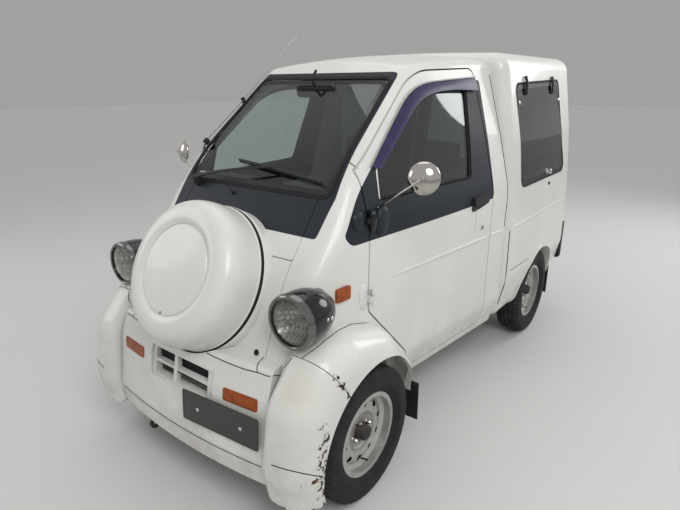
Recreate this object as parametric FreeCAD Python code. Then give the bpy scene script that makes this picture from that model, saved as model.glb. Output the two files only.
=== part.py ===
import FreeCAD, Part
import math
import os

# A short one-box kei car: narrow cab with round lamps, spare wheel on the nose, raised box behind.
# Millimetres. +Z up, the front faces -Y, +X is the car's left side, z = 0 is the ground.

V = FreeCAD.Vector

# stance
wheelbase = 1840.0
front_axle_y = -922.0
rear_axle_y = front_axle_y + wheelbase
track = 1110.0
wheel_x = track / 2

# gaps
seat_gap = 0.3
run_gap = 0.1
seam_gap = 3.0
shut_gap = 6.5

# wall thicknesses
cab_wall = 36.0
box_wall = 30.0
panel_thickness = 12.0
fender_wall = 16.0
glass_thickness = 5.0
glass_setback = 4.0

# cab stations along the car
door_front_y = -790.0
door_rear_y = 145.0
door_rear_top_y = 143.0
cab_end_y = 310.0
flange_end_y = 352.0
floor_z = 280.0
crease_z = 820.0

# cab seen from the side: floor, foot of the nose, cowl, windscreen, then on above the roof
nose_profile = [
    (-1228.0, 560.0, 200.0), (-1090.0, 885.0, 500.0), (-799.0, 1268.0, 900.0), (-181.0, 1775.0),
]
nose_slope_share = 1.3

# cab side seen from the front at the door's rear edge, from the sill to above the roof
side_profile = [
    (558.0, floor_z), (604.0, 425.0, 140.0), (606.0, crease_z, 10.0), (610.0, 1030.0, 450.0),
    (545.0, 1290.0, 900.0), (402.0, 1780.0),
]
side_taper = 0.104
pillar_round = 88.0

# cab roof: a patch of a torus, highest at the cab's end
roof_top_z = 1691.0
roof_long_radius = 4800.0
roof_cross_radius = 2600.0
roof_edge_radius = 62.0

# windscreen, measured along its slope
screen_foot_y = -892.0
screen_foot_z = 1150.0
screen_slope_deg = 42.3
screen_length = 634.0
screen_half_foot = 407.0
screen_half_top = 372.0
screen_corner = 42.0

# door outline, seen from the side
door_foot_z = 326.0
door_top_z = 1613.0
door_pillar_low = (-787.0, 1244.0)
door_pillar_top = (-341.0, 1594.0)
door_heel = (-528.0, 435.0)
door_toe_z = 712.0
door_hinge = V(530.0, door_front_y + shut_gap, 780.0)
door_hinge_lean = 0.05
door_hinge_z = (780.0, 1085.0)
door_inner_x = 372.0
hinge_barrel_radius = 9.0
hinge_barrel_length = 24.0
hinge_pin_radius = 4.0
hinge_strap_length = 24.0
window_outline = [
    (-708.0, 1128.0, 16.0), (-692.0, 1262.0, 20.0), (-373.0, 1520.0, 250.0),
    (62.0, 1549.0, 40.0), (-32.0, 1128.0, 34.0),
]
window_glass_depth = 12.0

# raised box
box_front_y = cab_end_y
box_end_y = rear_axle_y + 465.0
box_nose_radius = 62.0
box_tail_radius = 28.0
box_foot_z = 290.0
box_tail_foot_z = 372.0
box_tail_foot_y = rear_axle_y + 307.0
cargo_floor_z = 575.0
cargo_floor_thickness = 30.0
bulkhead_thickness = 24.0
box_top_z = 1706.0

# side windows in the box
quarter_outline = [
    (box_front_y + 116.0, 1547.0, 42.0), (rear_axle_y + 228.0, 1567.0, 42.0),
    (rear_axle_y + 325.0, 1012.0, 48.0), (box_front_y + 167.0, 1012.0, 48.0),
]
quarter_overlap = 14.0

# tailgate
gate_foot_z = 652.0
gate_top_z = box_top_z - 106.0
gate_half_foot = 556.0
gate_half_top = 486.0
gate_thickness = 30.0
gate_axis_z = gate_top_z + 6.0
gate_axis_y = box_end_y + 9.0
gate_barrel_radius = 8.0
gate_hinge_x = (-300.0, 300.0)

# wheel arches
front_arch_radius = 320.0
rear_arch_radius = 301.0
front_house_radius = 304.0
front_house_x = 288.0
rear_house_x = 452.0
house_wall = 10.0
arch_lip_x = 650.0
rear_lip_height = 8.0
rear_lip_width = 20.0

# front corners: fenders above, bumper corners below, split along a plane through the axle
corner_inner_x = 452.0
corner_round = 112.0
corner_inner_round = 42.0
corner_split_deg = 57.0
corner_outline = [
    (-1325.0, 150.0), (-1355.0, 320.0, 200.0), (-1320.0, 548.0, 160.0), (-1165.0, 722.0, 135.0),
    (-1010.0, 724.0, 150.0), (-770.0, 655.0, 150.0), (-590.0, 450.0, 130.0), (-575.0, 200.0),
]
corner_foot_z = 195.0
fender_foot_z = 300.0

# front bumper, swept about a far upright axis
bumper_bend = 2945.0
bumper_front_y = -1345.0
bumper_half_width = 448.0
bumper_section = [
    (-1345.0, 300.0, 24.0), (-1312.0, 530.0, 60.0), (-1277.0, 632.0, 22.0), (-1100.0, 632.0),
    (-1100.0, 197.0), (-1332.0, 197.0, 14.0),
]
bumper_wall = 14.0
bumper_back_y = -1160.0
grille_half_width = 188.0
grille_foot_z = 440.0
grille_top_z = 566.0
grille_depth = 26.0
front_lamp_inner_x = 243.0
front_lamp_outer_x = 399.0
front_lamp_foot_z = 484.0
front_lamp_top_z = 531.0

# hood panel on the nose
hood_half_width = 350.0
hood_top_z = 948.0
hood_foot_z = 600.0
cowl_top_z = 1165.0

# spare wheel on the nose, its axis tipped upwards
spare_tilt_deg = 27.0
spare_face = V(0.0, -1293.0, 919.0)
spare_cap_radius = 183.0
spare_cover_radius = 287.0
spare_cover_depth = 172.0
spare_cover_wall = 4.0
spare_crown = 17.0

# head lamps
lamp_x = 487.0
lamp_front_y = -1206.0
lamp_z = 812.0
lamp_radius = 94.0
lamp_lens_radius = 84.0
lamp_length = 210.0

# screen seal, rear window, side lamps, grille slots
screen_seal_width = 16.0
gate_window_foot_z = 1010.0
gate_window_top_z = gate_top_z - 80.0
gate_window_half_foot = 470.0
gate_window_half_top = 410.0
side_lamp_outline = [(-973.0, 800.0, 8.0), (-973.0, 853.0, 8.0), (-900.0, 853.0, 8.0), (-900.0, 800.0, 8.0)]
grille_slot_rows = [(474.0, 500.0), (530.0, 554.0)]
grille_slot_spans = [(-160.0, -46.0), (-28.0, 146.0)]
lamp_ring_length = 14.0
lamp_dome = 12.0

# frame, suspension, steering
frame_rail_x = 250.0
frame_rail_width = 50.0
frame_height = 48.0
frame_low_z = floor_z - frame_height
frame_high_z = cargo_floor_z - 45.0
frame_nose_y = -1150.0
frame_tail_y = rear_axle_y + 422.0
engine_front_y = cab_end_y + 130.0
engine_rear_y = rear_axle_y - 118.0
engine_middle_y = (engine_front_y + engine_rear_y) / 2
engine_half_width = 190.0
frame_cross_members = [
    (frame_nose_y, frame_low_z, floor_z), (-560.0, frame_low_z, floor_z),
    (cab_end_y + 20.0, frame_low_z, floor_z), (engine_middle_y - 20.0, frame_high_z, cargo_floor_z),
    (rear_axle_y + 282.0, frame_high_z, cargo_floor_z),
]
tow_eye_x = 244.0
tow_eye_y = -1296.0
tow_eye_z = 168.0
tow_eye_radius = 24.0
tow_hole_radius = 12.0
tow_plate = 12.0
tie_down_y = rear_axle_y + 400.0
tie_down_z = 345.0
spring_x = 225.0
leaf_reach = (rear_axle_y - cab_end_y) * 0.51
muffler_y = rear_axle_y + 212.0
jack_pads = [(460.0, -450.0), (520.0, 200.0)]
jack_pad_length = 90.0
jack_pad_width = 44.0
jack_pad_drop = 8.0
knuckle_reach = 86.0
kingpin_radius = 8.0
kingpin_bridge = 20.0
arm_thickness = 12.0
steering_tilt_deg = 50.0
steering_centre = V(-250.0, -490.0, 985.0)
steering_wheel_radius = 178.0
steering_shaft_radius = 9.0
antenna_root = V(-436.0, -790.0, 1232.0)
antenna_points = [V(-398.0, -787.0, 1303.0), V(-398.0, -543.0, 1477.0), V(-398.0, -154.0, 1783.0)]
mirror_centre = V(680.0, -700.0, 1235.0)
mirror_radius = 58.0
bumper_rear_half = 645.0
bumper_rear_depth = 32.0
flap_thickness = 5.7

# wheels
tyre_radius = 271.0
tyre_width = 147.0
bead_radius = 153.0
rim_flange_radius = 168.0
rim_half_width = 56.0
rim_wall = 3.0
hub_radius = 28.0
wheel_pad_x = 6.0
wheel_pad_radius = 62.0
rim_holes = 10
rim_hole_radius = 12.0
rim_hole_circle = 114.0
drum_radius = 104.0
kingpin_x = 508.0


def corner_geometry(before, point, after):
    """Start, middle and end of the arc that rounds one corner of an outline."""
    u, v = point[0], point[1]
    radius = point[2] if len(point) > 2 else 0.0
    if radius == 0.0:
        return (u, v), None, (u, v)
    first = FreeCAD.Base.Vector2d(before[0] - u, before[1] - v)
    second = FreeCAD.Base.Vector2d(after[0] - u, after[1] - v)
    first_length = math.hypot(first.x, first.y)
    second_length = math.hypot(second.x, second.y)
    ax, ay = first.x / first_length, first.y / first_length
    bx, by = second.x / second_length, second.y / second_length
    half = math.acos(max(-1.0, min(1.0, ax * bx + ay * by))) / 2
    tangent = radius / math.tan(half)
    to_middle = radius / math.sin(half) - radius
    mx, my = ax + bx, ay + by
    length = math.hypot(mx, my)
    start = (u + ax * tangent, v + ay * tangent)
    end = (u + bx * tangent, v + by * tangent)
    middle = (u + mx / length * to_middle, v + my / length * to_middle)
    return start, middle, end


def outline(points, place):
    """Closed wire of straight runs and tangent arcs: a point is (u, v) or (u, v, corner radius)."""
    count = len(points)
    corners = []
    for i in range(count):
        corners.append(corner_geometry(points[i - 1], points[i], points[(i + 1) % count]))
    edges = []
    for i in range(count):
        start, middle, end = corners[i]
        if middle is not None:
            edges.append(Part.Arc(place(*start), place(*middle), place(*end)).toShape())
        following = corners[(i + 1) % count][0]
        if math.hypot(following[0] - end[0], following[1] - end[1]) > 1e-6:
            edges.append(Part.LineSegment(place(*end), place(*following)).toShape())
    return Part.Wire(edges)


def prism_x(points, low, high):
    """Outline in the side view (y, z), pushed across the car."""
    wire = outline(points, lambda u, v: V(low, u, v))
    return Part.Face(wire).extrude(V(high - low, 0, 0))


def prism_y(points, low, high):
    """Outline in the front view (x, z), pushed along the car."""
    wire = outline(points, lambda u, v: V(u, low, v))
    return Part.Face(wire).extrude(V(0, high - low, 0))


def prism_z(points, low, high):
    """Outline in the plan (x, y), pushed upwards."""
    wire = outline(points, lambda u, v: V(u, v, low))
    return Part.Face(wire).extrude(V(0, 0, high - low))


def box(x0, x1, y0, y1, z0, z1):
    return Part.makeBox(x1 - x0, y1 - y0, z1 - z0, V(x0, y0, z0))


def rod_x(radius, x0, x1, y, z):
    return Part.makeCylinder(radius, x1 - x0, V(x0, y, z), V(1, 0, 0))


def rod(radius, start, end):
    return Part.makeCylinder(radius, (end - start).Length, start, end - start)


def turned(points, base, axis):
    """Outline of (distance along the axis, radius) points, turned all round the axis."""
    wire = outline(points, lambda u, v: V(u, v, 0))
    solid = Part.Face(wire).revolve(V(0, 0, 0), V(1, 0, 0), 360)
    solid.Placement = FreeCAD.Placement(base, FreeCAD.Rotation(V(1, 0, 0), axis))
    return solid


def mirrored(shape):
    return shape.mirror(V(0, 0, 0), V(1, 0, 0))


def both_sides(shape):
    return Part.makeCompound([shape, mirrored(shape)])


def fuse_all(shapes):
    result = shapes[0]
    for shape in shapes[1:]:
        result = result.fuse(shape)
    return result.removeSplitter()


def side_wedge(inset, lift):
    """All that lies inside the left skin, narrowing towards the front."""
    points = [(-900.0, floor_z + lift)]
    for point in side_profile:
        points.append((point[0] - inset,) + tuple(point[1:]))
    points[1] = (side_profile[0][0] - inset, floor_z + lift)
    points.append((-900.0, side_profile[-1][1]))
    front = -1400.0
    length = 2000.0
    wire = outline(points, lambda u, v: V(u + side_taper * (front - door_rear_y), front, v))
    return Part.Face(wire).extrude(V(side_taper * length, length, 0))


def nose_wedge(inset):
    """All that lies behind the nose and windscreen, up to the cab's end."""
    end = cab_form_end(inset)
    shift = inset * nose_slope_share
    points = [(end, floor_z - 50.0), (nose_profile[0][0] + 4.0 + shift, floor_z - 50.0)]
    for point in nose_profile:
        points.append((point[0] + shift,) + tuple(point[1:]))
    points.append((end, nose_profile[-1][1]))
    return prism_x(points, -900.0, 900.0)


def cab_form_end(inset):
    """The skin ends at the box, and what lies inside it runs on into the box."""
    if inset <= 0.0:
        return cab_end_y
    if inset < cab_wall:
        return flange_end_y
    return flange_end_y + 60.0


def roof_form(inset):
    """All that lies under the cab roof."""
    top = roof_top_z - inset
    hinge_z = roof_top_z - roof_long_radius
    half = 800.0
    drop = roof_cross_radius - math.sqrt(roof_cross_radius ** 2 - half ** 2)
    depth = 1560.0
    arc = Part.Arc(V(-half, 0, top - drop), V(0, 0, top), V(half, 0, top - drop)).toShape()
    right = Part.LineSegment(V(half, 0, top - drop), V(half, 0, top - depth)).toShape()
    foot = Part.LineSegment(V(half, 0, top - depth), V(-half, 0, top - depth)).toShape()
    left = Part.LineSegment(V(-half, 0, top - depth), V(-half, 0, top - drop)).toShape()
    face = Part.Face(Part.Wire([arc, right, foot, left]))
    face.translate(V(0, cab_end_y, 0))
    pivot = V(0, cab_end_y, hinge_z)
    face.rotate(pivot, V(1, 0, 0), 32)
    return face.revolve(pivot, V(1, 0, 0), -44)


def cab_form(inset, lift=0.0):
    """The cab's outer form, or the same form set in by a wall and lifted off the floor."""
    wedge = side_wedge(inset, lift)
    form = nose_wedge(inset).common(wedge).common(mirrored(wedge))
    pillars = []
    for edge in form.Edges:
        bounds = edge.BoundBox
        if bounds.ZLength > 20.0 and bounds.XLength < 150.0 and bounds.YMax < cab_end_y - 1.0:
            pillars.append(edge)
    form = form.makeFillet(max(pillar_round - inset, 24.0), pillars)
    form = form.common(roof_form(inset))
    roof_face = max(form.Faces, key=lambda face: face.CenterOfMass.z)
    rim = []
    for edge in roof_face.Edges:
        if edge.BoundBox.YMin < cab_form_end(inset) - 1.0:
            rim.append(edge)
    return form.makeFillet(max(roof_edge_radius - inset, 12.0), rim)


def box_section(inset, grow_foot=0.0):
    """Front-view outline of the raised box."""
    half = [
        (600.0 - inset, box_foot_z + inset + grow_foot, max(60.0 - inset, 10.0)),
        (649.0 - inset, 520.0, 160.0), (646.0 - inset, 826.0, 6.0), (634.0 - inset, 1010.0, 400.0),
        (611.0 - inset, 1262.0, 500.0), (541.0 - inset, 1692.0 - inset, 90.0 - inset),
        (0.0, box_top_z + 2.0 - inset, 8000.0),
    ]
    points = list(half)
    for point in reversed(half[:-1]):
        points.append((-point[0],) + tuple(point[1:]))
    return points


def box_form(inset):
    """The raised box behind the cab."""
    front = box_front_y
    rear = box_end_y - inset
    if inset > 0.0:
        return prism_y(box_section(inset), front + inset, rear)
    solid = prism_y(box_section(inset), front, rear)
    nose = [edge for edge in rounded_box_edges(solid) if edge.BoundBox.YMax < front + 1.0]
    solid = solid.makeFillet(box_nose_radius, nose)
    tail = [edge for edge in rounded_box_edges(solid) if edge.BoundBox.YMin > rear - 1.0]
    return solid.makeFillet(box_tail_radius, tail)


def rounded_box_edges(solid):
    """All edges of the box but those along its foot."""
    edges = []
    for edge in solid.Edges:
        bounds = edge.BoundBox
        if bounds.ZMax > box_foot_z + 70.0 or bounds.XLength < 900.0:
            edges.append(edge)
    return edges


def spare_axis():
    """Unit vector out of the nose along the spare wheel's axis."""
    tilt = math.radians(spare_tilt_deg)
    return V(0, -math.cos(tilt), math.sin(tilt))


def screen_block(grow, depth):
    """The windscreen's outline in its own slope, as a block through the skin."""
    slope = math.radians(screen_slope_deg)
    up = V(0, math.cos(slope), math.sin(slope))
    out = V(0, -math.sin(slope), math.cos(slope))
    foot = V(0, screen_foot_y, screen_foot_z)
    corner = screen_corner + grow
    low = -grow
    high = screen_length + grow
    points = [
        (-screen_half_foot - grow, low, corner), (screen_half_foot + grow, low, corner),
        (screen_half_top + grow, high, corner), (-screen_half_top - grow, high, corner),
    ]
    wire = outline(points, lambda u, v: foot + V(u, 0, 0) + up * v - out * depth)
    return Part.Face(wire).extrude(out * depth * 2)


def door_points(grow):
    """The door's outline from the side, grown for the gap round it."""
    front = door_front_y + shut_gap / 2 - grow
    rear = door_rear_y + grow
    low = door_foot_z - grow
    return [
        (front, door_pillar_low[1] + grow * 0.5, 12.0),
        (door_pillar_top[0] - grow * 0.3, door_pillar_top[1] + grow, 350.0),
        (door_rear_top_y + grow, door_top_z + grow, 45.0), (rear, low, 40.0),
        (door_heel[0] - grow, low, 30.0),
        (door_heel[0] - grow, door_heel[1] - grow * 0.4, 40.0), (front, door_toe_z - grow * 0.4, 60.0),
    ]


def window_points(grow):
    """The door window's outline, narrowing where the rear frame widens downwards."""
    count = len(window_outline)
    points = []
    for i, point in enumerate(window_outline):
        following = window_outline[(i + 1) % count]
        points.append(inset_point(window_outline[i - 1], point, following, -grow))
    return points


def quarter_points(grow):
    """The box's side window, grown for the hole it sits over."""
    front_top, rear_top, rear_foot, front_foot = quarter_outline
    return [
        (front_top[0] - grow, front_top[1] + grow, front_top[2] + grow),
        (rear_top[0] + grow, rear_top[1] + grow, rear_top[2] + grow),
        (rear_foot[0] + grow, rear_foot[1] - grow, rear_foot[2] + grow),
        (front_foot[0] - grow, front_foot[1] - grow, front_foot[2] + grow),
    ]


def gate_points(grow):
    """The tailgate's outline from behind."""
    low = gate_foot_z - grow
    high = gate_top_z + grow
    foot = gate_half_foot + grow
    top = gate_half_top + grow
    return [
        (-foot, low, 40.0), (foot, low, 40.0), (foot + 2.0, 900.0, 200.0),
        (top, high, 60.0), (-top, high, 60.0), (-foot - 2.0, 900.0, 200.0),
    ]


def lamp_shell_solid(grow):
    """A bullet-shaped lamp shell along the car, its mouth at the front."""
    radius = lamp_radius + grow
    points = [
        (-7.0, 0.0), (-7.0, radius), (90.0, radius + 1.0, 80.0),
        (lamp_length - 34.0 + grow, lamp_radius * 0.66 + grow, 60.0), (lamp_length + grow * 2, 0.0),
    ]
    return turned(points, V(lamp_x, lamp_front_y, lamp_z), V(0, 1, 0))


def spare_envelope(grow):
    """The space that the spare wheel's cover fills."""
    axis = spare_axis()
    base = spare_face + axis * (spare_crown + grow)
    radius = spare_cover_radius + grow
    return Part.makeCylinder(radius, spare_cover_depth + spare_crown + 80.0, base, axis * -1)


def inset_point(before, point, after, inset):
    """An outline's corner moved inwards by the wall, with its own rounding kept concentric."""
    ax, ay = point[0] - before[0], point[1] - before[1]
    bx, by = after[0] - point[0], after[1] - point[1]
    al, bl = math.hypot(ax, ay), math.hypot(bx, by)
    nax, nay = ay / al, -ax / al
    nbx, nby = by / bl, -bx / bl
    share = inset / (1.0 + nax * nbx + nay * nby)
    radius = point[2] if len(point) > 2 else 0.0
    if radius > 0.0:
        radius = max(radius - inset, 2.0)
    return (point[0] + (nax + nbx) * share, point[1] + (nay + nby) * share, radius)


def inset_outline(points, inset):
    """A clockwise outline moved inwards all round."""
    count = len(points)
    moved = []
    for i, point in enumerate(points):
        moved.append(inset_point(points[i - 1], point, points[(i + 1) % count], inset))
    return moved


def corner_form(inset):
    """The bulging form round one front wheel, before it is split into fender and bumper corner."""
    low = corner_inner_x + inset
    high = arch_lip_x - inset
    points = inset_outline(corner_outline, inset)
    points[0] = (points[0][0], points[0][1] - inset * 4)
    points[-1] = (points[-1][0], points[-1][1] - inset * 4)
    solid = prism_x(points, low, high)
    outer = []
    for edge in solid.Edges:
        foot = edge.BoundBox.ZMax < corner_outline[0][1] + 60.0 and edge.BoundBox.YLength > 300.0
        if edge.BoundBox.XMin > high - 1.0 and not foot:
            outer.append(edge)
    solid = solid.makeFillet(corner_round - inset, outer)
    valley = []
    for edge in solid.Edges:
        middle = edge.valueAt((edge.FirstParameter + edge.LastParameter) / 2)
        foot = edge.BoundBox.ZMax < corner_outline[0][1] + 60.0 and edge.BoundBox.YLength > 300.0
        if edge.BoundBox.XMax < low + 1.0 and middle.y < -1160.0 and not foot:
            valley.append(edge)
    return solid.makeFillet(max(corner_inner_round - inset, 10.0), valley)


def corner_zone(low, high):
    """A slab beside the plane that parts the fender from the bumper corner."""
    angle = math.radians(corner_split_deg)
    ahead = V(0, -math.cos(angle), math.sin(angle))
    over = V(0, math.sin(angle), math.cos(angle))
    axle = V(200, front_axle_y, tyre_radius)
    first = axle - ahead * 700 + over * low
    second = axle + ahead * 1100 + over * low
    third = axle + ahead * 1100 + over * high
    fourth = axle - ahead * 700 + over * high
    face = Part.Face(Part.makePolygon([first, second, third, fourth, first]))
    return face.extrude(V(700, 0, 0))


def bumper_sweep(inset, foot_z):
    """The front bumper's section swept about a far upright axis."""
    points = inset_outline(bumper_section, inset)
    back = points[3][0] + inset * 4
    points[3] = (back, points[3][1])
    points[4] = (back, foot_z)
    points[5] = (points[5][0], foot_z) + tuple(points[5][2:])
    pivot = V(0, bumper_front_y + bumper_bend, 0)
    face = Part.Face(outline(points, lambda u, v: V(0, u, v)))
    half_turn = math.degrees((bumper_half_width - inset) / bumper_bend)
    face.rotate(pivot, V(0, 0, 1), -half_turn)
    return face.revolve(pivot, V(0, 0, 1), half_turn * 2)


def bumper_pocket(x0, x1, z0, z1, corner, grow):
    """A block let into the bumper's face."""
    points = [
        (x0 - grow, z0 - grow, corner), (x1 + grow, z0 - grow, corner),
        (x1 + grow, z1 + grow, corner), (x0 - grow, z1 + grow, corner),
    ]
    return prism_y(points, bumper_front_y - 60.0, bumper_front_y + 140.0)


def front_wheel_zone(radius, inner_x):
    return rod_x(radius, inner_x, 900.0, front_axle_y, tyre_radius)


def rear_wheel_zone(radius, inner_x):
    return rod_x(radius, inner_x, 900.0, rear_axle_y, tyre_radius)


def make_forms():
    """The big forms that several pieces are cut from."""
    forms = {}
    forms["cab"] = cab_form(0.0)
    forms["cab_out"] = cab_form(-seat_gap)
    forms["cab_in"] = cab_form(cab_wall, cab_wall)
    forms["cab_flange"] = cab_form(cab_wall / 2, cab_wall / 2)
    forms["cab_panel"] = cab_form(panel_thickness)
    forms["cab_panel_seat"] = cab_form(panel_thickness + seat_gap)
    forms["box"] = box_form(0.0)
    forms["box_in"] = box_form(box_wall)
    return forms


def cab_band(outer, inner):
    """The part of the cab's skin between two depths."""
    return cab_form(outer).cut(cab_form(inner))


def hood_block(grow):
    half = hood_half_width + grow
    points = [
        (-half, hood_foot_z), (half, hood_foot_z), (half, hood_top_z + grow, 8.0),
        (-half, hood_top_z + grow, 8.0),
    ]
    return prism_y(points, -1300.0, -700.0)


def cowl_block(grow):
    half = hood_half_width + grow
    low = hood_top_z + seam_gap + 1.0 - grow
    points = [(-half, low, 8.0), (half, low, 8.0), (half, cowl_top_z), (-half, cowl_top_z)]
    return prism_y(points, -1300.0, -700.0)


def make_cab_shell(forms):
    flange = forms["cab_flange"].common(box(-700, 700, cab_end_y - 60.0, flange_end_y, 200, 1800))
    shell = forms["cab"].fuse(flange)
    houses = both_sides(front_wheel_zone(front_house_radius + house_wall, front_house_x - house_wall))
    shell = shell.cut(forms["cab_in"].cut(houses))
    shell = shell.cut(both_sides(front_wheel_zone(front_house_radius, front_house_x)))
    shell = shell.cut(both_sides(prism_x(door_points(shut_gap), 300.0, 900.0)))
    shell = shell.cut(screen_block(0.0, 70.0))
    pocket = forms["cab_out"].cut(forms["cab_panel_seat"])
    shell = shell.cut(pocket.common(hood_block(seam_gap)))
    shell = shell.cut(pocket.common(cowl_block(seam_gap)))
    shell = shell.cut(both_sides(lamp_shell_solid(seat_gap)))
    return shell.fuse(make_jack_pads())


def make_jack_pads():
    """Flat pads under the floor's edges, two a side."""
    pads = []
    for x, y in jack_pads:
        pads.append(box(
            x - jack_pad_width / 2, x + jack_pad_width / 2, y - jack_pad_length / 2, y + jack_pad_length / 2,
            floor_z - jack_pad_drop, floor_z + cab_wall / 2))
    return both_sides(Part.makeCompound(pads))


def make_cargo_body(forms):
    """The raised box with its floor over the engine and axle, hollow above and below that floor."""
    raised_tail = box(-800, 800, box_tail_foot_y, box_end_y + 100.0, 0, box_tail_foot_z)
    skin = forms["box"].fuse(make_rear_arch_lips(forms)).cut(raised_tail)
    floor = box(-700, 700, box_front_y, box_end_y, cargo_floor_z, cargo_floor_z + cargo_floor_thickness)
    bulkhead_y = flange_end_y + seat_gap
    bulkhead = box(
        -700, 700, bulkhead_y, bulkhead_y + bulkhead_thickness, 0, cargo_floor_z + cargo_floor_thickness,
    )
    tail_panel = box(-700, 700, box_end_y - box_wall, box_end_y, 0, 800)
    hollow = forms["box_in"].fuse(box(-570, 570, box_front_y - 10, box_end_y - box_wall, 200, 400))
    hollow = hollow.cut(fuse_all([floor, bulkhead, tail_panel]))
    liners = both_sides(rear_wheel_zone(rear_arch_radius + house_wall, rear_house_x))
    body = skin.cut(hollow.cut(liners))
    body = body.cut(both_sides(rear_wheel_zone(rear_arch_radius, rear_house_x - 30.0)))
    body = body.cut(cab_form(cab_wall / 2 - seat_gap, cab_wall / 2 - seat_gap))
    body = body.cut(both_sides(prism_x(quarter_points(-quarter_overlap), 400.0, 900.0)))
    seat = both_sides(prism_x(quarter_points(2.0), 400.0, 900.0))
    rebate = forms["box"].cut(box_form(glass_thickness + 3.0))
    body = body.cut(rebate.common(seat))
    return body.cut(prism_y(gate_points(shut_gap), box_end_y - 200.0, box_end_y + 50.0))


def make_rear_arch_lips(forms):
    """Raised lips round both rear wheel arches, following the box's curved sides."""
    zone = rear_wheel_zone(rear_arch_radius + rear_lip_width, rear_house_x)
    zone = zone.cut(rear_wheel_zone(rear_arch_radius - 5.0, rear_house_x - 10.0))
    skin = prism_y(box_section(-rear_lip_height), box_front_y + 100.0, box_end_y - box_tail_radius)
    return skin.cut(forms["box_in"]).common(both_sides(zone))


def make_door(forms, side_form):
    """A left door: the cab's whole side wall inside the door outline."""
    skin = side_form.common(prism_x(door_points(0.0), door_inner_x, 900.0))
    skin = skin.cut(prism_x(window_points(0.0), 300.0, 900.0))
    for z in door_hinge_z:
        skin = skin.fuse(door_hinge_half(forms, z))
    return skin


def hinge_line():
    """Unit vector up the leaning axis of the left door."""
    lean = V(-door_hinge_lean, 0, 1)
    return lean.normalize()


def hinge_middle(z):
    """The point of the left door's axis at one height."""
    return door_hinge + V(-door_hinge_lean, 0, 1) * (z - door_hinge.z)


def door_hinge_half(forms, z):
    """The door's half of a hinge: a barrel above and a strap let into the skin."""
    lean = hinge_line()
    middle = hinge_middle(z)
    barrel = Part.makeCylinder(hinge_barrel_radius, hinge_barrel_length, middle + lean, lean)
    low = z + 2.0
    strap = box(
        middle.x - 60.0, middle.x + 4.0, middle.y, middle.y + hinge_strap_length,
        low, low + hinge_barrel_length - 4.0)
    root = strap.common(forms["cab"]).cut(forms["cab_panel"])
    root = root.common(prism_x(door_points(0.0), 300.0, 900.0))
    half = fuse_all([barrel, strap.cut(forms["cab"]), root])
    return half.cut(Part.makeCylinder(hinge_pin_radius + run_gap, 120.0, middle - lean * 60.0, lean))


def make_hinges(forms):
    """The body's halves of the door and tailgate hinges, with their pins."""
    lean = hinge_line()
    pieces = []
    for z in door_hinge_z:
        middle = hinge_middle(z)
        barrel = Part.makeCylinder(hinge_barrel_radius, hinge_barrel_length, middle - lean, lean * -1)
        top = z - 3.0
        foot = z + 1.0 - hinge_barrel_length
        root = box(
            middle.x - 60.0, middle.x + 3.0, middle.y - hinge_strap_length, middle.y - 12.0, foot, top)
        bridge = box(middle.x - 4.0, middle.x + 3.0, middle.y - 16.0, middle.y, foot, top)
        half = fuse_all([barrel, root, bridge]).cut(forms["cab_out"])
        pin = Part.makeCylinder(hinge_pin_radius, 2 * hinge_barrel_length - 8.0,
                                middle - lean * (hinge_barrel_length - 4.0), lean)
        half = half.fuse(pin)
        pieces.append(half)
        pieces.append(mirrored(half))
    for x in gate_hinge_x:
        barrel = rod_x(gate_barrel_radius, x - 37.0, x - 1.0, gate_axis_y, gate_axis_z)
        strap = box(x - 34.0, x - 4.0, box_end_y + seat_gap, box_end_y + 6.0, gate_axis_z, gate_axis_z + 34.0)
        pin = rod_x(hinge_pin_radius, x - 20.0, x + 34.0, gate_axis_y, gate_axis_z)
        pieces.append(barrel.fuse(strap).fuse(pin))
    return Part.makeCompound(pieces)


def make_door_glass():
    band = cab_band(window_glass_depth, window_glass_depth + glass_thickness)
    return band.common(prism_x(window_points(-seat_gap), 300.0, 900.0))


def make_windscreen():
    band = cab_band(glass_setback, glass_setback + glass_thickness)
    return band.common(screen_block(-screen_seal_width - seat_gap, 60.0))


def make_screen_seal():
    band = cab_band(-2.0, screen_seal_width)
    ring = screen_block(-seat_gap, 60.0).cut(screen_block(-screen_seal_width, 61.0))
    return band.common(ring)


def make_quarter_glasses(forms):
    band = box_form(2.0).cut(box_form(2.0 + glass_thickness))
    return band.common(both_sides(prism_x(quarter_points(0.0), 400.0, 900.0)))


def make_tailgate():
    gate = prism_y(gate_points(0.0), box_end_y - gate_thickness, box_end_y)
    gate = gate.cut(prism_y(gate_window_points(0.0), box_end_y - 100.0, box_end_y + 100.0))
    for x in gate_hinge_x:
        barrel = rod_x(gate_barrel_radius, x + 1.0, x + 37.0, gate_axis_y, gate_axis_z)
        strap = box(x + 4.0, x + 34.0, box_end_y, box_end_y + 6.0, gate_top_z - 50.0, gate_axis_z)
        pin = rod_x(hinge_pin_radius + run_gap, x - 5.0, x + 40.0, gate_axis_y, gate_axis_z)
        gate = gate.fuse(barrel.fuse(strap).cut(pin))
    return gate


def gate_window_points(grow):
    low = gate_window_foot_z - grow
    high = gate_window_top_z + grow
    foot = gate_window_half_foot + grow
    top = gate_window_half_top + grow
    return [(-foot, low, 46.0), (foot, low, 46.0), (top, high, 46.0), (-top, high, 46.0)]


def make_hood(forms):
    return forms["cab"].cut(forms["cab_panel"]).common(hood_block(0.0)).cut(spare_envelope(seat_gap))


def make_cowl(forms):
    panel = forms["cab"].cut(forms["cab_panel"]).common(cowl_block(0.0))
    return panel.cut(spare_envelope(seat_gap)).cut(screen_block(seat_gap, 60.0))


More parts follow.
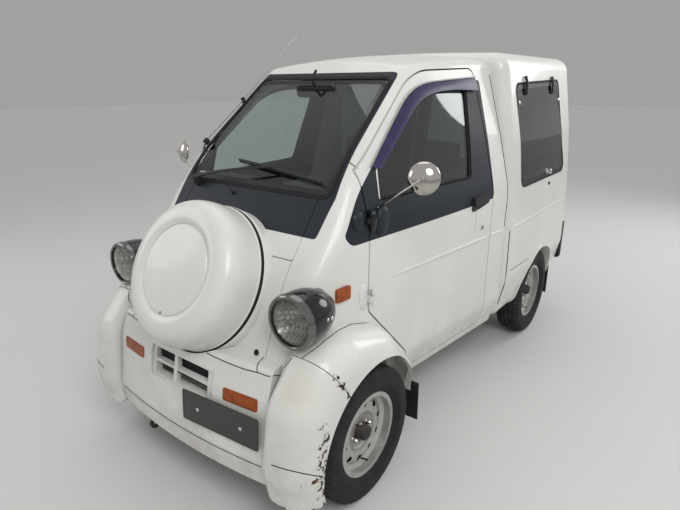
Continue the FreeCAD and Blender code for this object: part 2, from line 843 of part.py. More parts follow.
def make_corner_pieces(forms):
    """Fenders and bumper corners of both sides, as two shapes."""
    outer = corner_form(0.0)
    hollow = corner_form(fender_wall)
    tail_foot = box(300, 800, -700, -400, 0, fender_foot_z)
    skin = outer.cut(hollow).cut(box(300, 800, -1500, -400, 0, corner_foot_z)).cut(tail_foot)
    skin = skin.cut(front_wheel_zone(front_arch_radius, corner_inner_x - 10.0))
    skin = skin.cut(forms["cab_out"]).cut(lamp_shell_solid(seat_gap))
    fender = skin.common(corner_zone(seam_gap / 2, 1200.0))
    corner = skin.common(corner_zone(-1200.0, -seam_gap / 2))
    return both_sides(fender), both_sides(corner)


def make_front_bumper(forms):
    outer = bumper_sweep(0.0, bumper_section[-1][1])
    skin = outer.cut(bumper_sweep(bumper_wall, bumper_section[-1][1] - 60.0))
    skin = skin.cut(box(-700, 700, bumper_back_y, -900, 0, 700)).cut(forms["cab_out"])
    skin = skin.cut(both_sides(front_wheel_zone(front_house_radius, front_house_x)))
    skin = skin.cut(bumper_pocket(
        -grille_half_width, grille_half_width, grille_foot_z, grille_top_z, 10.0, 0.0))
    for shape in (front_lamp_pocket(0.0), mirrored(front_lamp_pocket(0.0))):
        skin = skin.cut(shape)
    return skin.cut(spare_envelope(seam_gap))


def front_lamp_pocket(grow):
    return bumper_pocket(
        front_lamp_inner_x, front_lamp_outer_x, front_lamp_foot_z, front_lamp_top_z, 8.0, grow)


def make_front_grille():
    """A slotted panel set into the bumper, two rows of two slots."""
    body = bumper_sweep(grille_depth - 8.0, 150.0).cut(bumper_sweep(grille_depth, 120.0))
    body = body.common(bumper_pocket(
        -grille_half_width, grille_half_width, grille_foot_z, grille_top_z, 10.0, -seat_gap))
    wall = bumper_sweep(1.0, 150.0).cut(bumper_sweep(grille_depth, 120.0))
    rim = bumper_pocket(-grille_half_width, grille_half_width, grille_foot_z, grille_top_z, 10.0, -seat_gap)
    rim = rim.cut(bumper_pocket(
        -grille_half_width, grille_half_width, grille_foot_z, grille_top_z, 6.0, -6.0))
    body = body.fuse(wall.common(rim))
    for z0, z1 in grille_slot_rows:
        for x0, x1 in grille_slot_spans:
            body = body.cut(box(x0, x1, -1400, -1200, z0, z1))
    return body


def make_amber_lamps(forms):
    lens = bumper_sweep(-3.0, 197.0).cut(bumper_sweep(bumper_wall, 100.0))
    front = lens.common(front_lamp_pocket(-seat_gap))
    band = cab_form(-9.0).cut(forms["cab_out"])
    side = band.common(prism_x(side_lamp_outline, 300.0, 700.0))
    return Part.makeCompound([front, mirrored(front), side, mirrored(side)])


def make_lamp_pieces():
    """Shell, ring and lens of the left head lamp."""
    base = V(lamp_x, lamp_front_y, lamp_z)
    hollow = turned([
        (-5.0, 0.0), (-5.0, lamp_radius - 4.0), (60.0, lamp_radius - 4.0), (100.0, 60.0, 30.0), (120.0, 0.0),
    ], base, V(0, 1, 0))
    mouth = Part.makeCylinder(lamp_radius + 10.0, 50.0 + lamp_ring_length, base - V(0, 50, 0), V(0, 1, 0))
    shell = lamp_shell_solid(0.0).cut(hollow).cut(mouth)
    ring = turned([
        (-6.0, lamp_lens_radius - 2.0), (-6.0, lamp_radius - 4.0, 3.0), (2.0, lamp_radius, 5.0),
        (lamp_ring_length - seat_gap, lamp_radius),
        (lamp_ring_length - seat_gap, lamp_lens_radius + seat_gap),
        (0.0, lamp_lens_radius + seat_gap), (0.0, lamp_lens_radius - 2.0),
    ], base, V(0, 1, 0))
    lens = turned([
        (seat_gap, 0.0), (seat_gap, lamp_lens_radius), (10.0, lamp_lens_radius),
        (10.0, lamp_lens_radius - 5.0),
        (5.0, 0.0),
    ], base, V(0, 1, 0))
    dome_radius = (lamp_lens_radius ** 2 + lamp_dome ** 2) / (2 * lamp_dome)
    dome = Part.makeSphere(dome_radius, base + V(0, dome_radius - lamp_dome, 0))
    inner = Part.makeSphere(dome_radius - 4.0, base + V(0, dome_radius - lamp_dome, 0))
    window = Part.makeCylinder(
        lamp_lens_radius - 2.0 - seat_gap, 60.0, base - V(0, 40, 0), V(0, 1, 0))
    cap = dome.cut(inner).common(window)
    lens = lens.fuse(cap).removeSplitter()
    return shell, ring, lens


def make_spare_cover(forms):
    radius = spare_cover_radius
    wall = spare_cover_wall
    depth = -spare_cover_depth - 60.0
    cap = spare_cap_radius
    outer = [
        (0.0, 0.0), (0.0, cap), (4.0, cap + 2.0, 2.0), (spare_crown, cap + 14.0, 12.0),
        (spare_crown - 8.0, radius, 62.0), (depth, radius - 6.0), (depth, 0.0),
    ]
    inner = [
        (-wall, 0.0), (-wall, cap + 4.0), (spare_crown - wall - 1.0, cap + 18.0, 12.0),
        (spare_crown - 8.0 - wall, radius - wall, 58.0), (depth - 10.0, radius - 6.0 - wall),
        (depth - 10.0, 0.0),
    ]
    solid = turned(outer, spare_face, spare_axis()).cut(turned(inner, spare_face, spare_axis()))
    return solid.cut(forms["cab_out"])


def tyre_profile():
    """Half section points of a tyre wall, completed on the other side."""
    bead = bead_radius + seat_gap
    seat = rim_half_width - rim_wall - seat_gap
    half = tyre_width / 2
    outer = [
        (-seat, bead), (-seat, rim_flange_radius + 1.5), (-60.0, rim_flange_radius + 4.0, 4.0),
        (-half, 208.0, 60.0), (-half + 3.0, 244.0, 50.0), (-half + 15.0, tyre_radius - 3.0, 8.0),
    ]
    inner = [
        (7.0 - seat, bead), (7.0 - seat, 178.0, 8.0), (-64.0, 211.0, 40.0), (-61.0, 240.0, 25.0),
        (-50.0, tyre_radius - 14.0, 12.0),
    ]
    points = list(outer)
    points.append((0.0, tyre_radius, 400.0))
    for point in reversed(outer):
        points.append((-point[0],) + tuple(point[1:]))
    for point in inner:
        points.append((-point[0],) + tuple(point[1:]))
    points.append((0.0, tyre_radius - 11.5, 300.0))
    for point in reversed(inner):
        points.append(point)
    return points


def rim_profile():
    half = rim_half_width
    wall = rim_wall
    return [
        (-half, rim_flange_radius), (-half + wall, rim_flange_radius), (-half + wall, bead_radius),
        (-30.0, bead_radius), (-20.0, 138.0), (12.0, 138.0), (24.0, bead_radius), (half - wall, bead_radius),
        (half - wall, rim_flange_radius), (half, rim_flange_radius), (half, bead_radius - wall),
        (25.5, bead_radius - wall), (13.5, 138.0 - wall), (wheel_pad_x + 18.0, 110.0, 20.0),
        (wheel_pad_x + 16.0, 76.0, 10.0), (wheel_pad_x + 4.0, wheel_pad_radius, 6.0),
        (wheel_pad_x + 4.0, hub_radius + run_gap), (wheel_pad_x, hub_radius + run_gap),
        (wheel_pad_x, wheel_pad_radius + 1.5, 6.0), (wheel_pad_x + 12.0, 77.5, 10.0),
        (wheel_pad_x + 14.0, 108.0, 20.0), (9.0, 138.0 - wall), (-18.5, 138.0 - wall),
        (-28.5, bead_radius - wall),
        (-half, bead_radius - wall),
    ]


def make_wheel(side, y):
    """Tyre and rim on one hub; side is +1 for the car's left."""
    base = V(side * wheel_x, y, tyre_radius)
    axis = V(side, 0, 0)
    tyre = turned(tyre_profile(), base, axis)
    rim = turned(rim_profile(), base, axis)
    for i in range(rim_holes):
        turn = math.radians(360.0 / rim_holes * i + 9.0)
        reach = V(0, math.cos(turn), math.sin(turn)) * rim_hole_circle
        rim = rim.cut(Part.makeCylinder(rim_hole_radius, 200.0, base + reach - axis * 10.0, axis))
    return tyre, rim


def make_spare_wheel(forms):
    """Tyre and plain rim carried under the cover."""
    base = spare_face - spare_axis() * (tyre_width / 2 + 8.0)
    tyre = turned(tyre_profile(), base, spare_axis())
    rim = turned([
        (-52.0, bead_radius), (52.0, bead_radius), (52.0, 146.0), (8.0, 140.0), (8.0, 0.0), (2.0, 0.0),
        (2.0, 140.0), (-52.0, 146.0),
    ], base, spare_axis())
    post = rod(34.0, base + spare_axis() * 5.0, base - spare_axis() * 200.0)
    return Part.makeCompound([tyre, rim.fuse(post).removeSplitter().cut(forms["cab_panel"])])


def make_knuckle(side):
    """Stub axle with its drum and hub, held by two pins on the kingpin's line."""
    base = V(side * wheel_x, front_axle_y, tyre_radius)
    out = V(side, 0, 0)
    drum = turned([
        (-31.0, 0.0), (-31.0, drum_radius, 4.0), (wheel_pad_x - shut_gap, drum_radius, 10.0),
        (wheel_pad_x - shut_gap, 0.0),
    ], base, out)
    hub = Part.makeCylinder(hub_radius, 52.0, base - out * 10.0, out)
    king = V(side * kingpin_x, front_axle_y, tyre_radius)
    post = box(-11, 11, -18, 18, -knuckle_reach, knuckle_reach)
    post.translate(king)
    arm = box(-11, 11, -18, 120, -14, 14)
    arm.translate(king)
    pins = Part.makeCylinder(
        kingpin_radius, 2 * knuckle_reach + 48.0, king - V(0, 0, knuckle_reach + 24.0), V(0, 0, 1))
    bridge = Part.makeCylinder(40.0, kingpin_bridge, king, out)
    return fuse_all([drum, hub, post, arm, pins, bridge])


def make_front_suspension():
    """Wishbones, brackets and spring legs of both sides."""
    king = V(kingpin_x, front_axle_y, tyre_radius)
    low_z = tyre_radius - knuckle_reach - shut_gap - arm_thickness
    top_z = tyre_radius + knuckle_reach + shut_gap
    pieces = []
    for z, root_x in ((low_z, frame_rail_x), (top_z, front_house_x + seat_gap)):
        plate = prism_z([
            (root_x, king.y - 90.0), (king.x, king.y - 22.0, 20.0), (king.x + 22.0, king.y, 20.0),
            (king.x, king.y + 22.0, 20.0), (root_x, king.y + 90.0),
        ], z, z + arm_thickness)
        pieces.append(plate)
    post = box(
        frame_rail_x, frame_rail_x + 30.0, king.y - 90.0, king.y + 90.0, low_z, floor_z - frame_height)
    pad = box(
        front_house_x + seat_gap, front_house_x + 14.0, king.y - 90, king.y + 90, top_z - 20.0, top_z + 32.0)
    leg = rod(24.0, V(320.0, king.y, low_z + arm_thickness - 1.0), V(320.0, king.y, floor_z + 250.0))
    side = fuse_all(pieces + [pad, leg, post])
    side = side.cut(Part.makeCylinder(kingpin_radius + run_gap, 600.0, king - V(0, 0, 300), V(0, 0, 1)))
    return both_sides(side)


def make_chassis_frame():
    """Two rails that climb over the rear axle, with cross members."""
    low = frame_low_z
    high = frame_high_z
    climb = cab_end_y + 95.0
    points = [
        (frame_nose_y, low), (frame_nose_y, floor_z), (climb, floor_z), (climb + 95.0, cargo_floor_z),
        (frame_tail_y, cargo_floor_z), (frame_tail_y, high), (climb + 115.0, high), (climb + 20.0, low),
    ]
    rail = prism_x(points, frame_rail_x - frame_rail_width, frame_rail_x)
    pieces = [rail, mirrored(rail)]
    reach = frame_rail_x - frame_rail_width / 2
    for y, z0, z1 in frame_cross_members:
        pieces.append(box(-reach, reach, y, y + 50.0, z0, z1))
    half = tow_plate / 2
    front_bar = prism_x([
        (-1060.0, low + 6.0), (-1140.0, low + 6.0), (tow_eye_y - 8.0, tow_eye_z + 22.0),
        (tow_eye_y - 8.0, tow_eye_z - 22.0), (-1120.0, low - 24.0), (-1060.0, low - 24.0),
    ], -tow_eye_x - half, half - tow_eye_x)
    front_eye = rod_x(tow_eye_radius, -tow_eye_x - half, half - tow_eye_x, tow_eye_y, tow_eye_z)
    rear_bar = box(
        tow_eye_x - half, tow_eye_x + half, tie_down_y - 20.0, tie_down_y + 20.0, tie_down_z, high + 20.0)
    rear_eye = rod_x(tow_eye_radius, tow_eye_x - half, tow_eye_x + half, tie_down_y, tie_down_z)
    frame = fuse_all(pieces + [front_bar, front_eye, rear_bar, rear_eye])
    frame = frame.cut(rod_x(tow_hole_radius, -tow_eye_x - 20.0, 20.0 - tow_eye_x, tow_eye_y, tow_eye_z))
    return frame.cut(rod_x(tow_hole_radius, tow_eye_x - 20.0, tow_eye_x + 20.0, tie_down_y, tie_down_z))


def make_rear_axle():
    """Tube, differential bulge, leaf springs, drums and hubs."""
    centre = V(0, rear_axle_y, tyre_radius)
    reach = wheel_x - 31.0
    tube = rod_x(30.0, -reach, reach, rear_axle_y, tyre_radius)
    bulge = turned([(-70.0, 0.0), (-70.0, 50.0, 20.0), (0.0, 96.0, 60.0), (70.0, 50.0, 20.0), (70.0, 0.0)],
                   centre, V(1, 0, 0))
    pieces = [tube, bulge]
    for side in (1, -1):
        base = V(side * wheel_x, rear_axle_y, tyre_radius)
        out = V(side, 0, 0)
        pieces.append(turned([
            (-31.0, 0.0), (-31.0, drum_radius, 4.0), (wheel_pad_x - shut_gap, drum_radius, 10.0),
            (wheel_pad_x - shut_gap, 0.0),
        ], base, out))
        pieces.append(Part.makeCylinder(hub_radius, 52.0, base - out * 10.0, out))
        x0 = side * spring_x - 26.0
        leaf = prism_x([
            (rear_axle_y - leaf_reach, 306.0), (rear_axle_y, 230.0, 900.0), (rear_axle_y + leaf_reach, 306.0),
            (rear_axle_y + leaf_reach, 318.0), (rear_axle_y, 243.0, 900.0), (rear_axle_y - leaf_reach, 318.0),
        ], x0, x0 + 52.0)
        pieces.append(leaf)
        clamp = box(x0 - 6.0, x0 + 58.0, rear_axle_y - 34.0, rear_axle_y + 34.0, 240.0, tyre_radius + 44.0)
        pieces.append(clamp)
        for y in (rear_axle_y - leaf_reach, rear_axle_y + leaf_reach - 20.0):
            pieces.append(box(x0 + 6.0, x0 + 46.0, y, y + 20.0, 306.0, frame_high_z))
    return fuse_all(pieces)


def make_engine_block():
    block = box(-engine_half_width, engine_half_width, engine_front_y, engine_rear_y, 190, 480)
    block = block.makeChamfer(14.0, block.Edges)
    head = box(-150, 150, engine_middle_y - 20.0, engine_middle_y + 40.0, 470, frame_high_z)
    return block.fuse(head).removeSplitter()


def make_fuel_tank():
    tank = box(-190, 190, -320, 240, 178, floor_z)
    edges = [edge for edge in tank.Edges if edge.BoundBox.ZMax < floor_z - 1.0 or edge.BoundBox.ZLength > 20]
    return tank.makeFillet(24.0, edges)


def make_exhaust():
    muffler = rod_x(62.0, -340.0, 60.0, muffler_y, 380.0)
    inlet = rod(20.0, V(20.0, engine_rear_y + seat_gap, 400.0), V(20.0, muffler_y, 400.0))
    outlet = rod(18.0, V(-330.0, muffler_y, 345.0), V(-330.0, box_end_y + 9.0, 330.0))
    strap = box(-60, -30, muffler_y - 10.0, muffler_y + 10.0, 430, cargo_floor_z)
    return fuse_all([muffler, inlet, outlet, strap])


def make_rear_bumper():
    bar = prism_y([
        (-bumper_rear_half, 378.0, 18.0), (bumper_rear_half, 378.0, 18.0), (bumper_rear_half, 640.0, 10.0),
        (598.0, 640.0, 10.0), (580.0, 500.0, 20.0), (-580.0, 500.0, 20.0), (-598.0, 640.0, 10.0),
        (-bumper_rear_half, 640.0, 10.0),
    ], box_end_y, box_end_y + bumper_rear_depth)
    return bar


def make_tail_lamps():
    points = [(592.0, 690.0, 14.0), (632.0, 690.0, 14.0), (630.0, 900.0, 14.0), (592.0, 900.0, 14.0)]
    lamp = prism_y(points, box_end_y, box_end_y + 14.0)
    return both_sides(lamp)


def make_dashboard(forms):
    points = [
        (-1010.0, 900.0), (-960.0, 1090.0), (-720.0, 1098.0, 60.0), (-640.0, 1020.0, 50.0),
        (-668.0, 860.0, 60.0),
        (-800.0, 780.0), (-1010.0, 780.0),
    ]
    dash = prism_x(points, -600.0, 600.0)
    ahead = forms["cab_in"].common(box(-700, 700, -1300, door_front_y - shut_gap, 300, 1400))
    dash = dash.common(ahead.fuse(cab_form(cab_wall + shut_gap, cab_wall)))
    down = wheel_axis()
    column = rod(26.0 + seat_gap, steering_centre, steering_centre + down * 900.0)
    return dash.cut(both_sides(lamp_shell_solid(shut_gap))).cut(column)


def make_seats():
    pieces = []
    for x0, x1 in ((60.0, 440.0), (-440.0, -60.0)):
        base = box(x0 + 20, x1 - 20, -150, 250, floor_z + cab_wall, 440)
        cushion = prism_x([
            (-230.0, 440.0, 30.0), (-240.0, 570.0, 45.0), (200.0, 545.0, 20.0), (200.0, 440.0),
        ], x0, x1)
        back = prism_x([
            (140.0, 480.0, 20.0), (210.0, 1090.0, 40.0), (290.0, 1090.0, 40.0), (275.0, 480.0, 20.0),
        ], x0, x1)
        head = prism_x([
            (205.0, 1090.0, 10.0), (215.0, 1270.0, 36.0), (295.0, 1270.0, 36.0), (285.0, 1090.0, 10.0),
        ], x0 + 70, x1 - 70)
        pieces.append(fuse_all([base, cushion, back, head]))
    return Part.makeCompound(pieces)


def wheel_axis():
    """Unit vector from the steering wheel down its column."""
    tilt = math.radians(steering_tilt_deg)
    return V(0, -math.cos(tilt), -math.sin(tilt))


def make_steering_wheel():
    down = wheel_axis()
    ring = Part.makeTorus(steering_wheel_radius, 13.0, steering_centre, down)
    hub = Part.makeCylinder(38.0, 52.0, steering_centre + down * 2.0, down)
    across = V(1, 0, 0)
    up = down.cross(across)
    spokes = []
    for turn_deg in (15.0, 165.0, 270.0):
        turn = math.radians(turn_deg)
        reach = across * math.cos(turn) + up * math.sin(turn)
        end = steering_centre + reach * (steering_wheel_radius - 4.0)
        spokes.append(rod(9.0, steering_centre + down * 24.0, end))
    shaft = rod(steering_shaft_radius, steering_centre + down * 50.0, steering_centre + down * 120.0)
    return fuse_all([ring, hub, shaft] + spokes)


def make_steering_column(forms):
    down = wheel_axis()
    start = steering_centre + down * (54.0 + shut_gap)
    tube = rod(26.0, start, steering_centre + down * 900.0)
    tube = tube.cut(rod(steering_shaft_radius + run_gap, start, start + down * 66.0))
    inside = box(-700, 700, -1300, 0, floor_z + cab_wall, 1400)
    wheels = both_sides(front_wheel_zone(front_house_radius + house_wall, front_house_x - house_wall))
    return tube.common(forms["cab_in"]).common(inside).cut(wheels)


def make_mirror(forms):
    """Left mirror: foot on the door, bent arm, round head that faces the rear."""
    foot_outline = [
        (-757.0, 1010.0, 12.0), (-757.0, 1102.0, 12.0), (-728.0, 1102.0, 12.0), (-728.0, 1010.0, 12.0),
    ]
    foot = cab_form(-16.0).cut(forms["cab_out"]).common(prism_x(foot_outline, 300.0, 700.0))
    elbow = V(500.0, -742.0, 1060.0)
    arm = rod(7.0, elbow, mirror_centre + V(-10, 8, -20))
    head = turned([
        (0.0, 0.0), (0.0, mirror_radius - 4.0, 3.0), (10.0, mirror_radius, 8.0),
        (34.0, mirror_radius - 22.0, 20.0),
        (38.0, 0.0),
    ], mirror_centre + V(0, 14, 0), V(0, -1, 0))
    return fuse_all([foot, arm, head]).cut(forms["cab_out"])


def make_mudflaps(forms):
    front_y = corner_outline[-1][0]
    front = box(520, 630, front_y - flap_thickness, front_y, 150, 330).cut(forms["cab_out"])
    rear_y = box_tail_foot_y + 7.0
    rear = box(480, 624, rear_y, rear_y + flap_thickness, 160, box_tail_foot_z)
    return Part.makeCompound([front, mirrored(front), rear, mirrored(rear)])


def make_antenna(forms):
    low, bend, tip = antenna_points
    mast = [rod(3.0, low, bend), rod(3.0, bend, tip), Part.makeSphere(3.0, bend)]
    mast.append(rod(6.0, low + (bend - low) * 0.02, antenna_root))
    return fuse_all(mast).cut(forms["cab_out"])


def build():
    forms = make_forms()
    nodes = {}
    wall = forms["cab"].cut(forms["cab_in"])
    nodes["cab_shell"] = make_cab_shell(forms)
    nodes["cargo_body"] = make_cargo_body(forms)
    nodes["hood_panel"] = make_hood(forms)
    nodes["cowl_panel"] = make_cowl(forms)
    door = make_door(forms, wall)
    nodes["door_left"] = door
    nodes["door_right"] = mirrored(door)
    glass = make_door_glass()
    nodes["door_glass_left"] = glass
    nodes["door_glass_right"] = mirrored(glass)
    nodes["windscreen_seal"] = make_screen_seal()
    nodes["fixed_glasses"] = Part.makeCompound([make_windscreen(), make_quarter_glasses(forms)])
    nodes["hinges"] = make_hinges(forms)
    nodes["tailgate"] = make_tailgate()
    nodes["tailgate_glass"] = prism_y(
        gate_window_points(-seat_gap), box_end_y - 18.0, box_end_y - 18.0 + glass_thickness)
    nodes["front_fenders"], nodes["bumper_corners"] = make_corner_pieces(forms)
    nodes["front_bumper"] = make_front_bumper(forms)
    nodes["front_grille"] = make_front_grille()
    nodes["amber_lamps"] = make_amber_lamps(forms)
    shell, ring, lens = make_lamp_pieces()
    nodes["headlamp_shells"] = Part.makeCompound([shell, ring, mirrored(shell), mirrored(ring)])
    nodes["headlamp_lenses"] = both_sides(lens)
    nodes["spare_cover"] = make_spare_cover(forms)
    nodes["spare_wheel"] = make_spare_wheel(forms)
    nodes["chassis_frame"] = make_chassis_frame()
    nodes["front_suspension"] = make_front_suspension()
    nodes["rear_axle"] = make_rear_axle()
    nodes["engine_block"] = make_engine_block()
    nodes["fuel_tank"] = make_fuel_tank()
    nodes["exhaust"] = make_exhaust()
    nodes["rear_bumper"] = make_rear_bumper()
    nodes["tail_lamps"] = make_tail_lamps()
    nodes["dashboard"] = Part.makeCompound([make_dashboard(forms), make_steering_column(forms)])
    nodes["steering_wheel"] = make_steering_wheel()
    nodes["seats"] = make_seats()
    nodes["mudflaps"] = make_mudflaps(forms)
    nodes["antenna"] = make_antenna(forms)
    mirror = make_mirror(forms)
    nodes["mirror_left"] = mirror
    nodes["mirror_right"] = mirrored(mirror)
    for side, name in ((1, "left"), (-1, "right")):
        nodes["knuckle_" + name] = make_knuckle(side)
        for end, y in (("front", front_axle_y), ("rear", rear_axle_y)):
            tyre, rim = make_wheel(side, y)
            nodes["tyre_" + end + "_" + name] = tyre
            nodes["rim_" + end + "_" + name] = rim
    return nodes


def export(nodes):
    os.makedirs("parts", exist_ok=True)
    for name, shape in nodes.items():
        solids = Part.makeCompound(shape.Solids)
        if len(shape.Solids) == 1:
            solids = shape.Solids[0]
        solids.exportStep("parts/" + name + ".step")


if __name__ == "__main__":
    export(build())
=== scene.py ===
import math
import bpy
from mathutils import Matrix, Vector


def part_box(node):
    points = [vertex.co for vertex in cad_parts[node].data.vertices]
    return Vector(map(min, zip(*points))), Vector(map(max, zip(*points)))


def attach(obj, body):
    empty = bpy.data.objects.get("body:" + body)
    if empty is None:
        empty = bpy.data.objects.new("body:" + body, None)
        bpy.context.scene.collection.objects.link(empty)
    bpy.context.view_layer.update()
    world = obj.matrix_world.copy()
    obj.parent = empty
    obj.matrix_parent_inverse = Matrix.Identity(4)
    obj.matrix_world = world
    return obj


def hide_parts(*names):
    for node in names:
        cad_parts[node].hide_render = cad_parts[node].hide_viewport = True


bl_info = {
    "name": "Kei Car",
    "version": (1, 0, 0),
    "blender": (4, 5, 0),
    "location": "View3D > Sidebar > Kei Car",
    "description": "Paint, glass, trim, tyres, lamps, seats and a plain studio for the packed kei car",
    "category": "Object",
}

import bmesh
import bpy
from mathutils import Matrix, Vector
from mathutils.bvhtree import BVHTree
from mathutils.geometry import tessellate_polygon

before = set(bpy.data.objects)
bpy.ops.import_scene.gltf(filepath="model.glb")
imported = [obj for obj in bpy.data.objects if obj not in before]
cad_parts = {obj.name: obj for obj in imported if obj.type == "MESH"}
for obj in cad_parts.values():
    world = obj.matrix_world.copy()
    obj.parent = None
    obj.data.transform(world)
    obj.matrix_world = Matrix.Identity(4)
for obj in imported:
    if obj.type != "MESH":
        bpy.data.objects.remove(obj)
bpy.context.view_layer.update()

# Metres. +Z up, the front faces -Y, +X is the car's left side. Left pieces are made first and mirrored.

DOORS = ("door_left", "door_right")
MIRRORS = ("mirror_left", "mirror_right")
WHEELS = ("front_left", "front_right", "rear_left", "rear_right")
X_AXIS = Vector((1.0, 0.0, 0.0))
Y_AXIS = Vector((0.0, 1.0, 0.0))
Z_AXIS = Vector((0.0, 0.0, 1.0))

# outlines in the side view (y, z) or (y, z, corner radius)
DOOR_WINDOW = [
    (-0.708, 1.128, 0.016), (-0.692, 1.262, 0.020), (-0.373, 1.520, 0.250), (0.062, 1.549, 0.040),
    (-0.032, 1.128, 0.034),
]
HANDLE_SHELL = [
    (-0.056, 0.972, 0.012), (-0.056, 1.040, 0.016), (0.098, 1.046, 0.016), (0.098, 0.998, 0.010),
    (0.040, 0.986, 0.030),
]
HANDLE_PADDLE = [(-0.048, 0.996, 0.010), (-0.048, 1.036, 0.012), (0.060, 1.041, 0.012), (0.060, 1.004, 0.010)]
QUARTER_WINDOW = [
    (0.426, 1.547, 0.042), (1.146, 1.567, 0.042), (1.243, 1.012, 0.048), (0.477, 1.012, 0.048),
]
DARK_SIDE = [
    (-0.920, 1.030), (-0.806, 1.184), (-0.716, 1.262), (-0.557, 1.383), (-0.425, 1.484), (-0.305, 1.530),
    (-0.150, 1.548), (0.186, 1.564), (0.151, 1.006), (-0.080, 0.994), (-0.600, 0.989), (-0.886, 0.990),
]

# outlines seen from the front (x, z), and the tailgate's window from behind with its corner radius
SCREEN_BLACK = [(-0.374, 1.594), (0.374, 1.594), (0.426, 1.130), (-0.426, 1.130)]
DARK_COWL = [(-0.424, 1.170), (0.424, 1.170), (0.412, 1.026), (-0.412, 1.026)]
GATE_WINDOW = [(-0.470, 1.010, 0.046), (0.470, 1.010, 0.046), (0.410, 1.520, 0.046), (-0.410, 1.520, 0.046)]
GATE_FACE_Y = 1.383

# visor edges on the left door
VISOR_OUTER = [
    (0.463, -0.726, 1.254), (0.441, -0.560, 1.393), (0.426, -0.425, 1.496), (0.425, -0.305, 1.542),
    (0.436, -0.150, 1.558), (0.464, 0.140, 1.574),
]
VISOR_INNER = [
    (0.469, -0.684, 1.238), (0.453, -0.502, 1.373), (0.441, -0.369, 1.464), (0.443, -0.247, 1.501),
    (0.454, -0.084, 1.514), (0.476, 0.140, 1.508),
]
VISOR_OUT = Vector((0.93, 0.0, 0.36))

# windscreen, measured along its slope
SCREEN_FOOT = Vector((0.0, -0.892, 1.150))
SCREEN_SLOPE = math.radians(42.3)
SCREEN_LENGTH = 0.634
SCREEN_HALF_FOOT = 0.407
SCREEN_HALF_TOP = 0.372

LAMP = Vector((0.487, -1.206, 0.812))
SPARE_FACE = Vector((0.0, -1.293, 0.919))
SPARE_TILT = math.radians(27.0)
SPARE_AXIS = Vector((0.0, -math.cos(SPARE_TILT), math.sin(SPARE_TILT)))
MIRROR = Vector((0.675, -0.698, 1.230))
MIRROR_RADIUS = 0.059
WAIST_Z = 0.815

# wheels
TYRE_RADIUS = 0.271
WHEEL_X = 0.555
REAR_WHEEL_Y = 0.918
FRONT_WHEEL_Y = -0.922
RIM_HOLES = 10
RIM_HOLE_CIRCLE = 0.114

# single sizes and counts: joints between panels, lamp prisms, plate bolts, seat padding, floor
SEAM_RADIUS = 0.0017
PRISM_ROW = 0.0195
PLATE_BOLT_X = 0.105
PUFF_FRAMES = 20
PUFF_REACH = 0.014
FLOOR_REACH = 40.0

# seams on the left half of the nose
NOSE_SEAMS = {
    "nose_seam": [
        (0.100, -1.270, 0.612), (0.216, -1.275, 0.614), (0.313, -1.267, 0.612), (0.387, -1.256, 0.615),
        (0.426, -1.249, 0.614), (0.452, -1.222, 0.630), (0.474, -1.203, 0.660), (0.488, -1.194, 0.688),
    ],
    "hood_seam_foot": [(0.345, -1.200, 0.640), (0.352, -1.225, 0.630), (0.374, -1.256, 0.615)],
    "fender_seam": [
        (0.522, -1.190, 0.688), (0.546, -1.146, 0.715), (0.544, -1.090, 0.723), (0.532, -0.999, 0.721),
        (0.504, -0.905, 0.694), (0.500, -0.871, 0.684), (0.504, -0.835, 0.673), (0.507, -0.797, 0.662),
    ],
    "lip_corner_seam": [
        (0.515, -1.349, 0.366), (0.565, -1.343, 0.372), (0.603, -1.326, 0.368), (0.638, -1.288, 0.347),
        (0.650, -1.248, 0.320),
    ],
}

# seat pads: name, left and right end, side section (y, z, corner radius), crown
SEAT_PADS = (
    ("seat_cushion", 0.074, 0.426,
     [(-0.222, 0.452, 0.030), (-0.226, 0.556, 0.045), (0.176, 0.534, 0.040), (0.176, 0.452, 0.020)], 0.02),
    ("seat_back", 0.076, 0.424,
     [(0.172, 0.540, 0.030), (0.222, 1.076, 0.036), (0.276, 1.076, 0.034), (0.262, 0.540, 0.030)], 0.05),
    ("seat_head", 0.142, 0.358,
     [(0.214, 1.112, 0.020), (0.224, 1.256, 0.034), (0.283, 1.256, 0.030), (0.275, 1.112, 0.020)], 0.03),
)

# which finish each CAD piece wears
NODE_FINISHES = {
    "white_banded": "cab_shell cowl_panel door_left door_right hinges",
    "white": "cargo_body hood_panel front_grille tailgate",
    "white_corner": "front_fenders bumper_corners front_bumper",
    "white_spare": "spare_cover",
    "clear_glass": "fixed_glasses door_glass_left door_glass_right",
    "dark_glass": "tailgate_glass",
    "rubber": "windscreen_seal",
    "flap": "mudflaps",
    "amber": "amber_lamps",
    "lamp_black": "headlamp_shells mirror_left mirror_right",
    "lamp_glass": "headlamp_lenses",
    "tyre": "spare_wheel tyre_front_left tyre_front_right tyre_rear_left tyre_rear_right",
    "steel": "rim_front_left rim_front_right rim_rear_left rim_rear_right",
    "chassis": "chassis_frame front_suspension fuel_tank",
    "casting": "rear_axle engine_block exhaust knuckle_left knuckle_right",
    "black_trim": "rear_bumper steering_wheel",
    "red": "tail_lamps",
    "grey_trim": "dashboard",
    "seat": "seats",
    "dull_chrome": "antenna",
}


def sum_with(operation, swapped=False):
    """A method of a signal that adds one Math node to its finish."""

    def method(self, *others):
        terms = (self, *others)
        return self.finish.maths(operation, *(terms[::-1] if swapped else terms))

    return method


class Signal:
    """A shader socket that takes part in sums: arithmetic on it adds Math nodes to its finish."""

    __add__ = __radd__ = sum_with("ADD")
    __sub__ = sum_with("SUBTRACT")
    __rsub__ = sum_with("SUBTRACT", swapped=True)
    __mul__ = __rmul__ = sum_with("MULTIPLY")
    __truediv__ = sum_with("DIVIDE")
    __pow__ = sum_with("POWER")
    __abs__ = sum_with("ABSOLUTE")

    def __init__(self, finish, socket):
        self.finish = finish
        self.socket = socket


